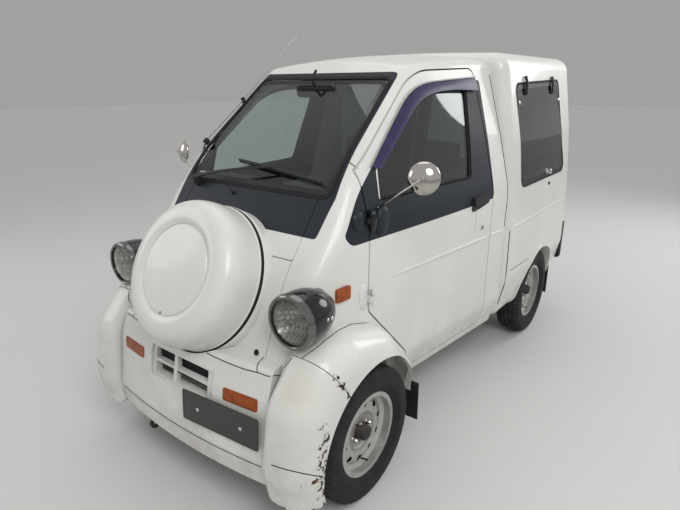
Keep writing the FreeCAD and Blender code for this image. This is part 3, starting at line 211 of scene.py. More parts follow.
class Nodes:
    """Adds nodes to a tree, each with its settings, values and links in one call."""

    def __init__(self, tree):
        self.tree = tree
        tree.nodes.clear()

    def node(self, kind, settings=None, values=None):
        """A node of any kind: its settings first, then what its sockets hold or are linked to."""
        made = self.tree.nodes.new(kind)
        for key, value in (settings or {}).items():
            setattr(made, key, value)
        for key, value in (values or {}).items():
            self.feed(made.inputs[key], value)
        return made

    def feed(self, socket, value):
        if isinstance(value, Signal):
            value = value.socket
        if isinstance(value, bpy.types.NodeSocket):
            self.tree.links.new(value, socket)
        elif socket.type == "RGBA" and len(value) == 3:
            socket.default_value = (*value, 1.0)
        else:
            socket.default_value = value


class Finish(Nodes):
    """One material and its nodes, all reading Object coordinates, which are the car's own."""

    def __init__(self, name):
        self.material = bpy.data.materials.new(name)
        self.material.use_nodes = True
        super().__init__(self.material.node_tree)
        self.where = self.node("ShaderNodeTexCoord").outputs["Object"]
        split = self.node("ShaderNodeSeparateXYZ", None, {0: self.where})
        self.place = tuple(Signal(self, out) for out in split.outputs)

    def maths(self, operation, *terms):
        made = self.node("ShaderNodeMath", {"operation": operation}, dict(enumerate(terms)))
        return Signal(self, made.outputs[0])

    def scaled(self, scale):
        """Object coordinates stretched by a factor on each axis."""
        return self.node("ShaderNodeMapping", None, {"Vector": self.where, "Scale": scale}).outputs[0]

    def noise(self, scale, detail=2.0, roughness=0.5, vector=None):
        made = self.node("ShaderNodeTexNoise", None, {
            "Vector": vector or self.where, "Scale": scale, "Detail": detail, "Roughness": roughness,
        })
        return Signal(self, made.outputs[0])

    def patches(self, scale, detail, roughness, low, high):
        """Noise cut into soft patches: 0 below low, 1 above high."""
        return self.step(self.noise(scale, detail, roughness), low, high)

    def cells(self, scale):
        made = self.node("ShaderNodeTexVoronoi", None, {"Vector": self.where, "Scale": scale})
        return Signal(self, made.outputs["Distance"])

    def step(self, signal, low, high):
        """0 below low, 1 above high, and a smooth change between."""
        made = self.node("ShaderNodeMapRange", {"interpolation_type": "SMOOTHSTEP"}, {
            "Value": signal, "From Min": low, "From Max": high,
        })
        return Signal(self, made.outputs[0])

    def fall(self, signal, low, high):
        """1 below low and 0 above high."""
        return 1.0 - self.step(signal, low, high)

    def most(self, *signals):
        best = signals[0]
        for signal in signals[1:]:
            best = self.maths("MAXIMUM", best, signal)
        return best

    def mix(self, first, second, factor):
        """A colour between two, by a factor."""
        made = self.node("ShaderNodeMix", {"data_type": "RGBA"}, {0: factor, 6: first, 7: second})
        return made.outputs[2]

    def inside(self, u, v, points, soft, edge=0.0008):
        """1 inside a convex clockwise outline of (u, v) points, with its corners rounded."""
        reach = None
        for i, (u0, v0) in enumerate(points):
            u1, v1 = points[(i + 1) % len(points)]
            length = math.hypot(u1 - u0, v1 - v0)
            distance = (u - u0) * ((v1 - v0) / length) + (v - v0) * (-(u1 - u0) / length)
            reach = distance if reach is None else self.maths("SMOOTH_MIN", reach, distance, soft)
        return self.step(reach, -edge, edge)

    def ball(self, centre, radius, fade):
        """1 near a point, falling to 0 at its radius."""
        gap = self.node("ShaderNodeVectorMath", {"operation": "DISTANCE"}, {0: self.where, 1: centre})
        return self.fall(Signal(self, gap.outputs["Value"]), radius - fade, radius)

    def bump(self, height, distance):
        return self.node("ShaderNodeBump", None, {"Distance": distance, "Height": height}).outputs[0]

    def surface(self, values):
        shader = self.node("ShaderNodeBsdfPrincipled", None, values)
        self.node("ShaderNodeOutputMaterial", None, {"Surface": shader.outputs[0]})
        return self.material


def shade(colour, factor, lift=0.0):
    return tuple(c * factor + lift for c in colour)


def corner_wear(f, colour):
    """Chips down to black and rust along the corner's edge and seams; gives the colour and the chips."""
    x, y, z = f.place
    side = abs(x)
    flake = f.noise(34.0, 6.0, 0.72)
    edge = f.step(side, 0.628, 0.650) * (f.fall(y, -1.215, -1.19) * f.fall(z, 0.50, 0.56))
    seam_gap = abs((y - FRONT_WHEEL_Y) * 0.839 + (z - TYRE_RADIUS) * 0.545 - 0.002)
    seam = f.fall(seam_gap, 0.004, 0.034) * f.step(side, 0.60, 0.635)
    lip = f.fall(abs(z - 0.318), 0.003, 0.020) * f.step(side, 0.50, 0.64)
    zone = f.most(edge, seam, f.most(lip, f.fall(z, 0.198, 0.212)))
    chip = f.step(flake + zone * 0.27, 0.79, 0.80) * f.step(zone, 0.05, 0.2)
    rust = f.patches(120.0, 3.0, 0.5, 0.50, 0.68)
    colour = f.mix(colour, f.mix((0.018, 0.016, 0.015), (0.16, 0.062, 0.026), rust), chip)
    halo = f.step(flake + zone * 0.24, 0.74, 0.81) * f.step(zone, 0.05, 0.3) - chip
    colour = f.mix(colour, (0.48, 0.34, 0.20), halo * 0.45)
    stain = f.ball((0.55, -1.24, 0.60), 0.11, 0.10) * f.noise(9.0, 3.0)
    return f.mix(colour, (0.50, 0.42, 0.27), stain * 0.5), chip


def dark_bands(f, colour, ink):
    """The dark bands round the windows, a rust drip and the pillar's joint; gives colour, band and joint."""
    x, y, z = f.place
    side = abs(x)
    cowl = f.inside(x, z, DARK_COWL, 0.022) * f.fall(y, -0.86, -0.85)
    border = f.inside(x, z, SCREEN_BLACK, 0.036) * f.step(z, 1.15, 1.152) * f.fall(y, -0.372, -0.368)
    band = f.most(f.inside(y, z, DARK_SIDE, 0.030), cowl, border)
    scuff = f.patches(60.0, 4.0, 0.7, 0.55, 0.85) * 0.35
    colour = f.mix(colour, f.mix(ink, (0.040, 0.046, 0.054), scuff), band)
    joint = f.fall(abs(z - 1.272 + (side - 0.413) * 0.57), 0.0010, 0.0022) * f.fall(y, -0.772, -0.770)
    joint = joint * f.step(side, 0.405, 0.408)
    drip = f.fall(abs(y + 0.008 + f.noise(30.0, 2.0) * 0.004), 0.001, 0.005) * f.step(z, 0.86, 0.90)
    drip = drip * f.fall(z, 0.985, 0.99) * f.step(side, 0.5, 0.51)
    colour = f.mix(colour, (0.50, 0.36, 0.13), drip * 0.75)
    return f.mix(colour, (0.02, 0.02, 0.02), joint), band, joint


def body_paint(name, dark=False, corner=False, spare=False):
    """Old white paint with dust low down, fine pits, rust and bare chips, and the dark bands."""
    paint = bpy.context.scene.kei_paint
    white = tuple(paint.body_white)
    f = Finish(name)
    z = f.place[2]
    colour = f.mix(shade(white, 0.93), white, f.patches(2.6, 4.0, 0.6, 0.35, 0.65))
    runs = f.noise(1.0, 3.0, 0.6, f.scaled((38.0, 38.0, 3.2)))
    colour = f.mix(colour, (0.52, 0.49, 0.41), f.step(runs, 0.60, 0.84) * 0.16)
    grime = f.fall(z, 0.20, 0.62) * f.patches(7.0, 6.0, 0.7, 0.38, 0.72)
    colour = f.mix(colour, (0.33, 0.28, 0.21), grime * 0.42)
    pits = f.patches(170.0, 1.0, 0.5, 0.755, 0.775) * f.patches(5.0, 2.0, 0.5, 0.50, 0.62)
    colour = f.mix(colour, (0.10, 0.075, 0.055), pits * 0.8)
    rough = 0.30 + f.noise(14.0, 4.0, 0.6) * 0.12 + grime * 0.28
    wave = f.noise(240.0, 1.0) * 0.5 + f.noise(11.0, 2.0)
    gloss = 0.35
    if corner:
        colour, chip = corner_wear(f, colour)
        rough = rough + chip * 0.4
        wave = wave - chip * 2.0
    if spare:
        colour = f.mix(colour, shade(white, 0.90), f.patches(4.0, 3.0, 0.5, 0.4, 0.65) * 0.5)
    if dark:
        colour, band, joint = dark_bands(f, colour, tuple(paint.band_dark))
        rough = rough + band * 0.16
        gloss = 0.35 - band * 0.33
        wave = wave - joint * 3.0
    return f.surface({
        "Base Color": colour, "Roughness": rough, "Coat Weight": gloss, "Coat Roughness": 0.08,
        "Specular IOR Level": 0.28, "Normal": f.bump(wave, 0.00012),
    })


def glass(name, tint, roughness=0.02, dirt=0.10):
    """Flat car glass: clear, with a wiped film of dust in patches."""
    f = Finish(name)
    film = f.patches(5.0, 5.0, 0.65, 0.48, 0.80) * dirt
    return f.surface({
        "Base Color": f.mix(tint, shade(tint, 0.8), film), "Roughness": roughness + film * 0.25,
        "Transmission Weight": 1.0, "IOR": 1.45, "Specular IOR Level": 0.5,
    })


def rubber(name, colour=(0.010, 0.010, 0.011), roughness=0.72):
    """Dull rubber or carpet with dust in its grain."""
    f = Finish(name)
    dust = f.patches(26.0, 5.0, 0.65, 0.46, 0.78)
    return f.surface({
        "Base Color": f.mix(colour, shade(colour, 1.9, 0.006), dust * 0.5),
        "Roughness": roughness + dust * 0.12, "Specular IOR Level": 0.28,
        "Normal": f.bump(f.noise(420.0, 2.0), 0.00015),
    })


def moulded(name, colour, roughness=0.55, grain=700.0, depth=0.00012):
    """Moulded plastic with a leather grain and rubbed, greyer high spots."""
    f = Finish(name)
    worn = f.patches(9.0, 4.0, 0.6, 0.45, 0.75)
    pebble = f.cells(grain) + f.noise(grain * 0.5, 2.0) * 0.5
    return f.surface({
        "Base Color": f.mix(colour, shade(colour, 1.25, 0.003), worn), "Specular IOR Level": 0.35,
        "Roughness": roughness + worn * 0.1, "Normal": f.bump(pebble, depth),
    })


def bright_metal(name, colour=(0.72, 0.71, 0.69), roughness=0.10, tarnish=0.5):
    """Chrome with brown tarnish specks and a fine haze."""
    f = Finish(name)
    spots = f.patches(130.0, 4.0, 0.7, 0.60, 0.72) * tarnish
    haze = f.noise(24.0, 4.0, 0.6)
    return f.surface({
        "Base Color": f.mix(colour, (0.16, 0.10, 0.065), spots), "Metallic": 1.0 - spots * 0.6,
        "Roughness": roughness + haze * 0.12 + spots * 0.4, "Normal": f.bump(spots, 0.0001),
    })


def wheel_reach(f):
    """How far a point lies from its own wheel's axle, and its turn about it."""
    y, z = f.place[1:]
    along = y - (FRONT_WHEEL_Y + f.step(y, -0.001, 0.001) * (REAR_WHEEL_Y - FRONT_WHEEL_Y))
    lift = z - TYRE_RADIUS
    return (along * along + lift * lift) ** 0.5, f.maths("ARCTAN2", lift, along)


def wheel_steel():
    """Silver wheel paint under brown brake dust, rusty at the centre, with black painted shade on the walls
    of its round holes.
    """
    f = Finish("wheel_steel")
    reach, turn = wheel_reach(f)
    # darker towards brown-black: patches of brake dust, rust at the centre, a thin ring 76 mm from the axle,
    # and all that lies inboard of 6 mm outside the wheel's middle plane
    dust = f.patches(16.0, 5.0, 0.7, 0.42, 0.78) * 0.35
    middle = f.fall(reach, 0.045, 0.075)
    groove = f.fall(abs(reach - 0.076), 0.002, 0.008) * 0.55
    barrel = f.fall(abs(f.place[0]) - WHEEL_X, 0.006, 0.014)
    darkening = f.most(f.most(dust, middle * 0.6), f.most(groove, barrel * 0.8))
    colour = f.mix((0.47, 0.465, 0.45), (0.085, 0.067, 0.052), darkening)
    pit = f.patches(90.0, 3.0, 0.6, 0.68, 0.74)
    colour = f.mix(colour, (0.14, 0.055, 0.025), pit * 0.7)
    # painted shade: a black disc round each round hole, so the hole's light steel walls read as dark
    pitch = 2 * math.pi / RIM_HOLES
    share = f.maths("FRACT", (turn - math.radians(9.0)) * (1.0 / pitch) + 0.5) - 0.5
    round_gap = share * (pitch * RIM_HOLE_CIRCLE)
    ring_gap = reach - RIM_HOLE_CIRCLE
    hole = f.fall((round_gap * round_gap + ring_gap * ring_gap) ** 0.5, 0.0122, 0.0134)
    return f.surface({
        "Base Color": f.mix(colour, (0.010, 0.009, 0.008), hole),
        "Metallic": 0.75 - f.most(darkening, hole) * 0.7, "Roughness": 0.36 + darkening * 0.35,
        "Normal": f.bump(f.noise(210.0, 3.0) - pit, 0.0002),
    })


def tyre_rubber():
    """Tyre rubber: dusty on the tread, with fine rings on the wall."""
    f = Finish("tyre_rubber")
    reach = wheel_reach(f)[0]
    dust = f.patches(21.0, 6.0, 0.7, 0.44, 0.78)
    wall = f.mix((0.011, 0.011, 0.012), (0.050, 0.046, 0.042), dust * 0.5)
    tread = f.step(reach, 0.258, 0.268) * (0.2 + dust * 0.5)
    rings = f.maths("SINE", reach * 1900.0) * f.fall(abs(reach - 0.197), 0.008, 0.014)
    return f.surface({
        "Base Color": f.mix(wall, (0.060, 0.055, 0.048), tread), "Roughness": 0.72 + dust * 0.14,
        "Specular IOR Level": 0.3, "Normal": f.bump(rings + f.noise(300.0, 3.0), 0.0004),
    })


def dull_metal(name, colour, rust):
    """Chassis paint or bare casting with road dirt and rust in patches."""
    f = Finish(name)
    patch = f.patches(11.0, 6.0, 0.7, 0.50, 0.70) * rust
    tone = f.mix(colour, (0.10, 0.085, 0.068), f.patches(5.0, 4.0, 0.6, 0.42, 0.70) * 0.5)
    return f.surface({
        "Base Color": f.mix(tone, (0.125, 0.052, 0.026), patch), "Roughness": 0.62 + patch * 0.25,
        "Metallic": 0.25, "Normal": f.bump(f.noise(95.0, 5.0, 0.7) + patch, 0.0006),
    })


def lens(name, colour, ribs=260.0):
    """Coloured lamp plastic with upright prisms pressed in it."""
    f = Finish(name)
    x, y, z = f.place
    prisms = abs(f.maths("SINE", (abs(x) + y * 0.4) * ribs)) + abs(f.maths("SINE", z * ribs * 0.6)) * 0.6
    tone = f.noise(30.0, 3.0)
    return f.surface({
        "Base Color": f.mix(colour, shade(colour, 0.62), f.step(tone, 0.35, 0.7)),
        "Roughness": 0.20 + tone * 0.12, "Specular IOR Level": 0.3, "Coat Weight": 0.12,
        "Coat Roughness": 0.04, "Normal": f.bump(prisms, 0.0009),
    })


def seat_cloth():
    """Woven seat cloth with a fine check of two greys."""
    f = Finish("seat_cloth")
    x, y, z = f.place
    rise = y + z
    weave = f.maths("SINE", x * 2900.0) * f.maths("SINE", rise * 2900.0)
    check = f.step(f.maths("SINE", x * 210.0) * f.maths("SINE", rise * 210.0), -0.1, 0.1)
    colour = f.mix((0.060, 0.062, 0.068), (0.105, 0.105, 0.112), check * 0.5 + weave * 0.2 + 0.2)
    return f.surface({
        "Base Color": colour, "Roughness": 0.90, "Sheen Weight": 0.25,
        "Normal": f.bump(weave + f.noise(500.0, 3.0) * 0.5, 0.0004),
    })


def lamp_black():
    """Glossy black lamp enamel with grey scuffs."""
    f = Finish("lamp_black")
    scuff = f.patches(34.0, 6.0, 0.72, 0.56, 0.72)
    return f.surface({
        "Base Color": f.mix((0.006, 0.0065, 0.008), (0.050, 0.050, 0.052), scuff * 0.30),
        "Coat Weight": 0.2, "Specular IOR Level": 0.35, "Roughness": 0.10 + scuff * 0.22,
        "Normal": f.bump(f.noise(150.0, 2.0), 0.00006),
    })


def lamp_bowl():
    """Silvered bowl behind upright prisms in rows, with a painted dark reflection in brown stripes along the
    prisms and painted shade between the rows.
    """
    f = Finish("lamp_bowl")
    drop = (f.place[2] - LAMP.z) / PRISM_ROW
    row = f.maths("FLOOR", drop)
    # painted shade: the edges between the prism rows go dark brown-black in the Base Color below
    edge = f.fall(abs(f.maths("FRACT", drop) - 0.5), 0.0, 0.44)
    prisms = f.maths("SINE", (abs(f.place[0]) + row * 0.0045) * 420.0)
    # painted dark reflection: brown stripes along the prisms, as if the silver mirrored dark surroundings
    brown = f.step(prisms * 0.7 + f.noise(14.0, 2.0), 0.2, 1.4)
    tone = f.mix((0.52, 0.49, 0.42), (0.105, 0.090, 0.072), brown)
    return f.surface({
        "Base Color": f.mix((0.16, 0.13, 0.10), tone, f.step(edge, 0.0, 0.25)), "Metallic": 0.85,
        "Roughness": 0.22 + f.noise(50.0, 3.0) * 0.08, "Normal": f.bump(prisms + edge * 1.5, 0.00022),
    })


def studio_floor(tone):
    """Pale floor with a faint cloudy change of tone."""
    f = Finish("studio_floor")
    return f.surface({
        "Base Color": f.mix(tone, shade(tone, 0.97), f.noise(1.4, 4.0, 0.6)),
        "Roughness": 0.62 + f.noise(30.0, 3.0) * 0.1,
    })


FINISHES = {}


# Outlines and lines

def rounded(points, steps=6):
    """Outline of (u, v, radius) points with its corners turned into short runs."""
    made = []
    for i, point in enumerate(points):
        here = Vector(point[:2])
        radius = point[2]
        back = (Vector(points[i - 1][:2]) - here).normalized()
        ahead = (Vector(points[(i + 1) % len(points)][:2]) - here).normalized()
        half = math.acos(max(-1.0, min(1.0, back.dot(ahead)))) / 2
        middle = (back + ahead).normalized() * (radius / math.sin(half)) + here
        start = here + back * (radius / math.tan(half)) - middle
        end = here + ahead * (radius / math.tan(half)) - middle
        turn = start.angle_signed(end)
        for k in range(steps + 1):
            angle = -turn * k / steps
            c, s = math.cos(angle), math.sin(angle)
            made.append(middle + Vector((start.x * c - start.y * s, start.x * s + start.y * c)))
    return made


def oblong(u0, v0, u1, v1, radius, steps=5):
    """Outline of a rectangle with rounded corners."""
    return rounded([(u0, v0, radius), (u1, v0, radius), (u1, v1, radius), (u0, v1, radius)], steps)


def grown(points, by):
    """A rounded outline moved outwards all round; a negative number moves it in."""
    area = sum(points[i - 1].cross(points[i]) for i in range(len(points)))
    sign = 1.0 if area > 0 else -1.0
    moved = []
    for i, here in enumerate(points):
        tangent = (points[(i + 1) % len(points)] - points[i - 1]).normalized()
        moved.append(here + Vector((tangent.y, -tangent.x)) * by * sign)
    return moved


def smooth_line(points, count):
    """Evenly spaced points on a smooth curve through some points."""
    points = [Vector(p) for p in points]
    dense = []
    for i in range(len(points) - 1):
        p1, p2 = points[i], points[i + 1]
        p0 = points[i - 1] if i > 0 else p1 * 2 - p2
        p3 = points[i + 2] if i + 2 < len(points) else p2 * 2 - p1
        for k in range(16):
            t = k / 16
            dense.append(0.5 * ((2 * p1) + (p2 - p0) * t + (2 * p0 - 5 * p1 + 4 * p2 - p3) * t * t
                                + (3 * p1 - p0 - 3 * p2 + p3) * t ** 3))
    dense.append(points[-1])
    lengths = [0.0]
    for a, b in zip(dense, dense[1:]):
        lengths.append(lengths[-1] + (b - a).length)
    made = []
    j = 0
    for k in range(count):
        goal = lengths[-1] * k / (count - 1)
        while j < len(lengths) - 2 and lengths[j + 1] < goal:
            j += 1
        span = max(lengths[j + 1] - lengths[j], 1e-9)
        made.append(dense[j].lerp(dense[j + 1], (goal - lengths[j]) / span))
    return made


def between(start, end, count):
    """Evenly spaced numbers from start to end, both included."""
    return [start + (end - start) * k / (count - 1) for k in range(count)]


def capped(*rows):
    """A lathe profile of (distance, radius) points, closed to the axis at both ends."""
    return [(rows[0][0], 0.0), *rows, (rows[-1][0], 0.0)]


# Meshes

def mesh_from(points, faces, merge=0.0):
    """A mesh with its faces turned outwards."""
    mesh = bpy.data.meshes.new("mesh")
    mesh.from_pydata([tuple(p) for p in points], [], faces)
    work = bmesh.new()
    work.from_mesh(mesh)
    if merge > 0.0:
        bmesh.ops.remove_doubles(work, verts=work.verts, dist=merge)
    bmesh.ops.recalc_face_normals(work, faces=work.faces)
    work.to_mesh(mesh)
    work.free()
    return mesh


def joined(meshes):
    """Several meshes as one."""
    work = bmesh.new()
    for mesh in meshes:
        work.from_mesh(mesh)
        bpy.data.meshes.remove(mesh)
    mesh = bpy.data.meshes.new("mesh")
    work.to_mesh(mesh)
    work.free()
    return mesh


def mirror_mesh(mesh):
    """The same mesh on the other side of the car."""
    other = mesh.copy()
    other.transform(Matrix.Scale(-1.0, 4, X_AXIS))
    other.flip_normals()
    return other


def close_ends(mesh):
    """Fills the open ends of a sheet that was closed round one way."""
    work = bmesh.new()
    work.from_mesh(mesh)
    rim = [e for e in work.edges if len(e.link_faces) == 1]
    bmesh.ops.holes_fill(work, edges=rim, sides=0)
    bmesh.ops.recalc_face_normals(work, faces=work.faces)
    work.to_mesh(mesh)
    work.free()
    return mesh


def quads(height, width, wrap_rows, wrap_columns):
    """Faces of a grid of points, closed round either way."""
    faces = []
    for i in range(height if wrap_rows else height - 1):
        for j in range(width if wrap_columns else width - 1):
            a, b = i * width, (i + 1) % height * width
            c, d = j, (j + 1) % width
            faces.append((a + c, a + d, b + d, b + c))
    return faces


def grid_mesh(rows, wrap_rows=False, wrap_columns=False, ends=False):
    """A sheet of quads through rows of points, closed round either way, its first and last row filled."""
    width = len(rows[0])
    points = [p for row in rows for p in row]
    faces = quads(len(rows), width, wrap_rows, wrap_columns)
    if ends:
        faces += [tuple(range(width)), tuple(range(len(points) - width, len(points)))]
    return mesh_from(points, faces)


def slab(top, foot):
    """A thin closed sheet between two grids of points."""
    return close_ends(grid_mesh(top + foot[::-1], wrap_rows=True))


def flat_place(origin, across, up):
    """A flat place for an outline: where (u, v) lies, and the way it faces."""
    origin, across, up = Vector(origin), Vector(across).normalized(), Vector(up).normalized()
    out = across.cross(up)
    return lambda u, v: (origin + across * u + up * v, out)


def lifted(points, place, height):
    """An outline's points at one height above its place."""
    row = []
    for point in points:
        spot, out = place(point.x, point.y)
        row.append(spot + out * height)
    return row


def plate(points, place, low, high):
    """A slab with a rounded outline, from one height above its place to another."""
    count = len(points)
    faces = []
    for a, b, c in tessellate_polygon([[Vector((p.x, p.y, 0.0)) for p in points]]):
        faces += [(a, b, c), (c + count, b + count, a + count)]
    for i in range(count):
        j = (i + 1) % count
        faces.append((i, j, j + count, i + count))
    return mesh_from(lifted(points, place, high) + lifted(points, place, low), faces)


def ring_plate(outer, inner, place, low, high):
    """A flat ring between two outlines of as many points."""
    rows = [lifted(*row) for row in (
        (outer, place, low), (outer, place, high), (inner, place, high), (inner, place, low))]
    return grid_mesh(rows, wrap_rows=True, wrap_columns=True)


def lathe(profile, base, axis, steps=48):
    """A closed solid of (distance, radius) points turned about an axis."""
    base, axis = Vector(base), Vector(axis).normalized()
    across = axis.orthogonal().normalized()
    other = axis.cross(across)
    points = []
    for k in range(steps):
        turn = 2 * math.pi * k / steps
        reach = across * math.cos(turn) + other * math.sin(turn)
        points += [base + axis * d + reach * r for d, r in profile]
    width = len(profile)
    on_axis = [r < 1e-7 for d, r in profile]
    faces = [face for face in quads(steps, width, True, True)
             if not (on_axis[face[0] % width] and on_axis[face[1] % width])]
    return mesh_from(points, faces, merge=1e-6)


def tube(points, radius, sides=10, closed=False, flat=1.0, up=None):
    """A round or flattened bar along a line of points, with closed ends."""
    points = [Vector(p) for p in points]
    count = len(points)
    rows = []
    normal = None
    for i in range(count):
        before = points[i - 1] if closed or i > 0 else points[0]
        after = points[(i + 1) % count] if closed or i < count - 1 else points[-1]
        tangent = (after - before).normalized()
        if up is not None:
            normal = Vector(up)
        elif normal is None:
            normal = tangent.orthogonal()
        normal = (normal - tangent * normal.dot(tangent)).normalized()
        across = tangent.cross(normal)
        size = radius[i] if isinstance(radius, list) else radius
        row = []
        for k in range(sides):
            turn = 2 * math.pi * (k + 0.5) / sides
            row.append(points[i] + normal * math.cos(turn) * size * flat + across * math.sin(turn) * size)
        rows.append(row)
    return grid_mesh(rows, wrap_rows=closed, wrap_columns=True, ends=not closed)


def block(low, high, taper=0.0):
    """A six-sided solid, narrower towards its top where it tapers."""
    x0, y0, z0 = low
    x1, y1, z1 = high
    rows = []
    for z, cut in ((z0, 0.0), (z1, taper)):
        rows.append([(x0 + cut, y0 + cut, z), (x1 - cut, y0 + cut, z), (x1 - cut, y1 - cut, z),
                     (x0 + cut, y1 - cut, z)])
    return grid_mesh(rows, wrap_columns=True, ends=True)


class Skin:
    """The surface of some CAD nodes, asked where a straight line first meets it."""

    def __init__(self, *names):
        points = []
        faces = []
        for name in names:
            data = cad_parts[name].data
            base = len(points)
            points.extend(v.co.copy() for v in data.vertices)
            faces.extend([base + i for i in p.vertices] for p in data.polygons)
        self.tree = BVHTree.FromPolygons(points, faces)
        self.names = names

    def meet(self, start, direction):
        direction = Vector(direction)
        place, normal = self.tree.ray_cast(Vector(start), direction)[:2]
        if place is None:
            raise RuntimeError(f"no surface of {self.names} at {tuple(start)}")
        return place, -normal if normal.dot(direction) > 0 else normal

    def side(self, y, z):
        return self.meet((1.2, y, z), -X_AXIS)

    def front(self, x, z):
        return self.meet((x, -2.0, z), Y_AXIS)

    def inner(self, y, z):
        return self.meet((0.25, y, z), X_AXIS)

    def beside(self, y, z, stand=0.0):
        """A point that stands off the car's left side."""
        spot, out = self.side(y, z)
        return spot + out * stand


def swelling(skin, y, z, sink, along, across, half_length, half_width, height):
    """A smooth oval swelling on the car's left side, its edge sunk a little."""
    spot, out = skin.side(y, z)
    spot = spot - out * sink
    along = Vector(along).normalized()
    across = (Vector(across) if across else out.cross(along)).normalized()
    rows = []
    for k in range(9):
        t = k / 8 * math.pi / 2
        row = []
        for i in range(32):
            turn = 2 * math.pi * i / 32
            row.append(spot + (along * math.cos(turn) * half_length + across * math.sin(turn) * half_width)
                       * math.cos(t) ** 0.6 + out * height * math.sin(t))
        rows.append(row)
    return close_ends(grid_mesh(rows, wrap_columns=True))


# Pieces

def link_mesh(name, mesh, coat, angle=35.0):
    """An object at the origin for a finished mesh, smooth except at its sharp edges."""
    made = bpy.data.objects.new(name, mesh)
    bpy.context.scene.collection.objects.link(made)
    mesh.materials.clear()
    mesh.materials.append(FINISHES[coat])
    mesh.shade_smooth()
    mesh.set_sharp_from_angle(angle=math.radians(angle))
    return made


def put(name, mesh, coat, body="body", edge=0.0, angle=35.0, stands_for=None):
    """A piece in its finish on its body, with its sharp edges softened."""
    piece = link_mesh(name, mesh, coat, angle)
    if edge > 0.0:
        bevel = piece.modifiers.new("soft edge", "BEVEL")
        bevel.width = edge
        bevel.segments = 2
        bevel.limit_method = "ANGLE"
        bevel.angle_limit = math.radians(40.0)
    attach(piece, body)
    if stands_for is not None:
        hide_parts(stands_for)
    return piece


def both(name, mesh, coat, body="body", edge=0.0, angle=35.0, stands_for=None):
    """A left piece and its mirror image; a pair of bodies or nodes names the left one first."""
    pairs = [value if isinstance(value, tuple) else (value, value) for value in (body, stands_for)]
    shapes = (mesh, mirror_mesh(mesh))
    for i, end in enumerate(("_left", "_right")):
        put(name + end, shapes[i], coat, pairs[0][i], edge, angle, pairs[1][i])


def array_tree(name, turning):
    """A node tree that repeats a piece round the X axis or along a step, and merges what touches."""
    tree = bpy.data.node_groups.new(name, "GeometryNodeTree")
    way = ("First turn", "Float") if turning else ("Step", "Vector")
    for label, kind in (("Geometry", "Geometry"), ("Count", "Int"), way, ("Finish", "Material")):
        tree.interface.new_socket(label, in_out="INPUT", socket_type="NodeSocket" + kind)
    tree.interface.new_socket("Geometry", in_out="OUTPUT", socket_type="NodeSocketGeometry")
    make = Nodes(tree).node
    given = make("NodeGroupInput").outputs
    index = make("GeometryNodeInputIndex").outputs[0]
    points = make("GeometryNodePoints", None, {"Count": given["Count"]}).outputs[0]
    values = {"Points": points, "Instance": given["Geometry"]}
    if turning:
        share = make("ShaderNodeMath", {"operation": "DIVIDE"}, {0: 2 * math.pi, 1: given["Count"]})
        turn = make("ShaderNodeMath", {"operation": "MULTIPLY_ADD"}, {
            0: index, 1: share.outputs[0], 2: given["First turn"],
        })
        values["Rotation"] = make("ShaderNodeCombineXYZ", None, {"X": turn.outputs[0]}).outputs[0]
    else:
        reach = make("ShaderNodeVectorMath", {"operation": "SCALE"}, {0: given["Step"], "Scale": index})
        values["Points"] = make("GeometryNodeSetPosition", None, {
            "Geometry": points, "Position": reach.outputs[0],
        }).outputs[0]
    spread = make("GeometryNodeInstanceOnPoints", None, values)
    solid = make("GeometryNodeRealizeInstances", None, {0: spread.outputs[0]})
    merge = make("GeometryNodeMergeByDistance", None, {"Geometry": solid.outputs[0], "Distance": 0.00002})
    coat = make("GeometryNodeSetMaterial", None, {"Geometry": merge.outputs[0], "Material": given["Finish"]})
    make("NodeGroupOutput", None, {0: coat.outputs[0]})
    return tree


def repeated(mesh, turning, coat, **inputs):
    """The plain mesh that a node tree makes of one piece."""
    name = "repeat round" if turning else "repeat along"
    tree = bpy.data.node_groups.get(name) or array_tree(name, turning)
    carrier = bpy.data.objects.new("carrier", mesh)
    bpy.context.scene.collection.objects.link(carrier)
    modifier = carrier.modifiers.new("repeat", "NODES")
    modifier.node_group = tree
    known = {item.name: item.identifier for item in tree.interface.items_tree if item.in_out == "INPUT"}
    for key, value in inputs.items():
        modifier[known[key.replace("_", " ")]] = value
    modifier[known["Finish"]] = FINISHES[coat]
    made = evaluated(carrier)
    carrier.modifiers.remove(modifier)
    bpy.data.objects.remove(carrier)
    return made


def evaluated(piece):
    """A plain mesh of a piece with its modifiers done."""
    bpy.context.view_layer.update()
    seen = piece.evaluated_get(bpy.context.evaluated_depsgraph_get())
    return bpy.data.meshes.new_from_object(seen)


def colour_of(name, text, default):
    return bpy.props.FloatVectorProperty(
        name=name, description=text, default=default, subtype="COLOR", size=3, min=0.0, max=1.0)


def length_of(name, text, default, low, high):
    return bpy.props.FloatProperty(
        name=name, description=text, default=default, min=low, max=high, unit="LENGTH")


class KeiPaint(bpy.types.PropertyGroup):
    """Colours of the painted body"""

    body_white: colour_of("Body white", "Paint of the body panels", (0.66, 0.665, 0.635))
    band_dark: colour_of(
        "Dark band", "Paint of the cowl and the band below the windows", (0.012, 0.016, 0.022))
    visor_tint: colour_of("Visor tint", "Plastic of the side visors", (0.024, 0.015, 0.062))
    lamp_amber: colour_of("Amber", "Turn lamp plastic", (0.32, 0.062, 0.002))


class KeiTrim(bpy.types.PropertyGroup):
    """Sizes of the small trim"""

    visor_stand: length_of(
        "Visor stand", "How far the visor's free edge stands off the door", 0.020, 0.005, 0.04)
    tread_blocks: bpy.props.IntProperty(
        name="Tread blocks", description="Tread pitches round one tyre", default=58, min=20, max=90)
    tread_depth: length_of("Tread depth", "Depth of the tyre's grooves", 0.0060, 0.002, 0.009)
    nut_size: length_of("Wheel nut", "Width of a wheel nut across its flats", 0.019, 0.01, 0.03)
    plate_width: length_of("Front plate width", "Width of the blank front plate", 0.372, 0.2, 0.52)
    plate_height: length_of("Front plate height", "Height of the blank front plate", 0.124, 0.08, 0.2)


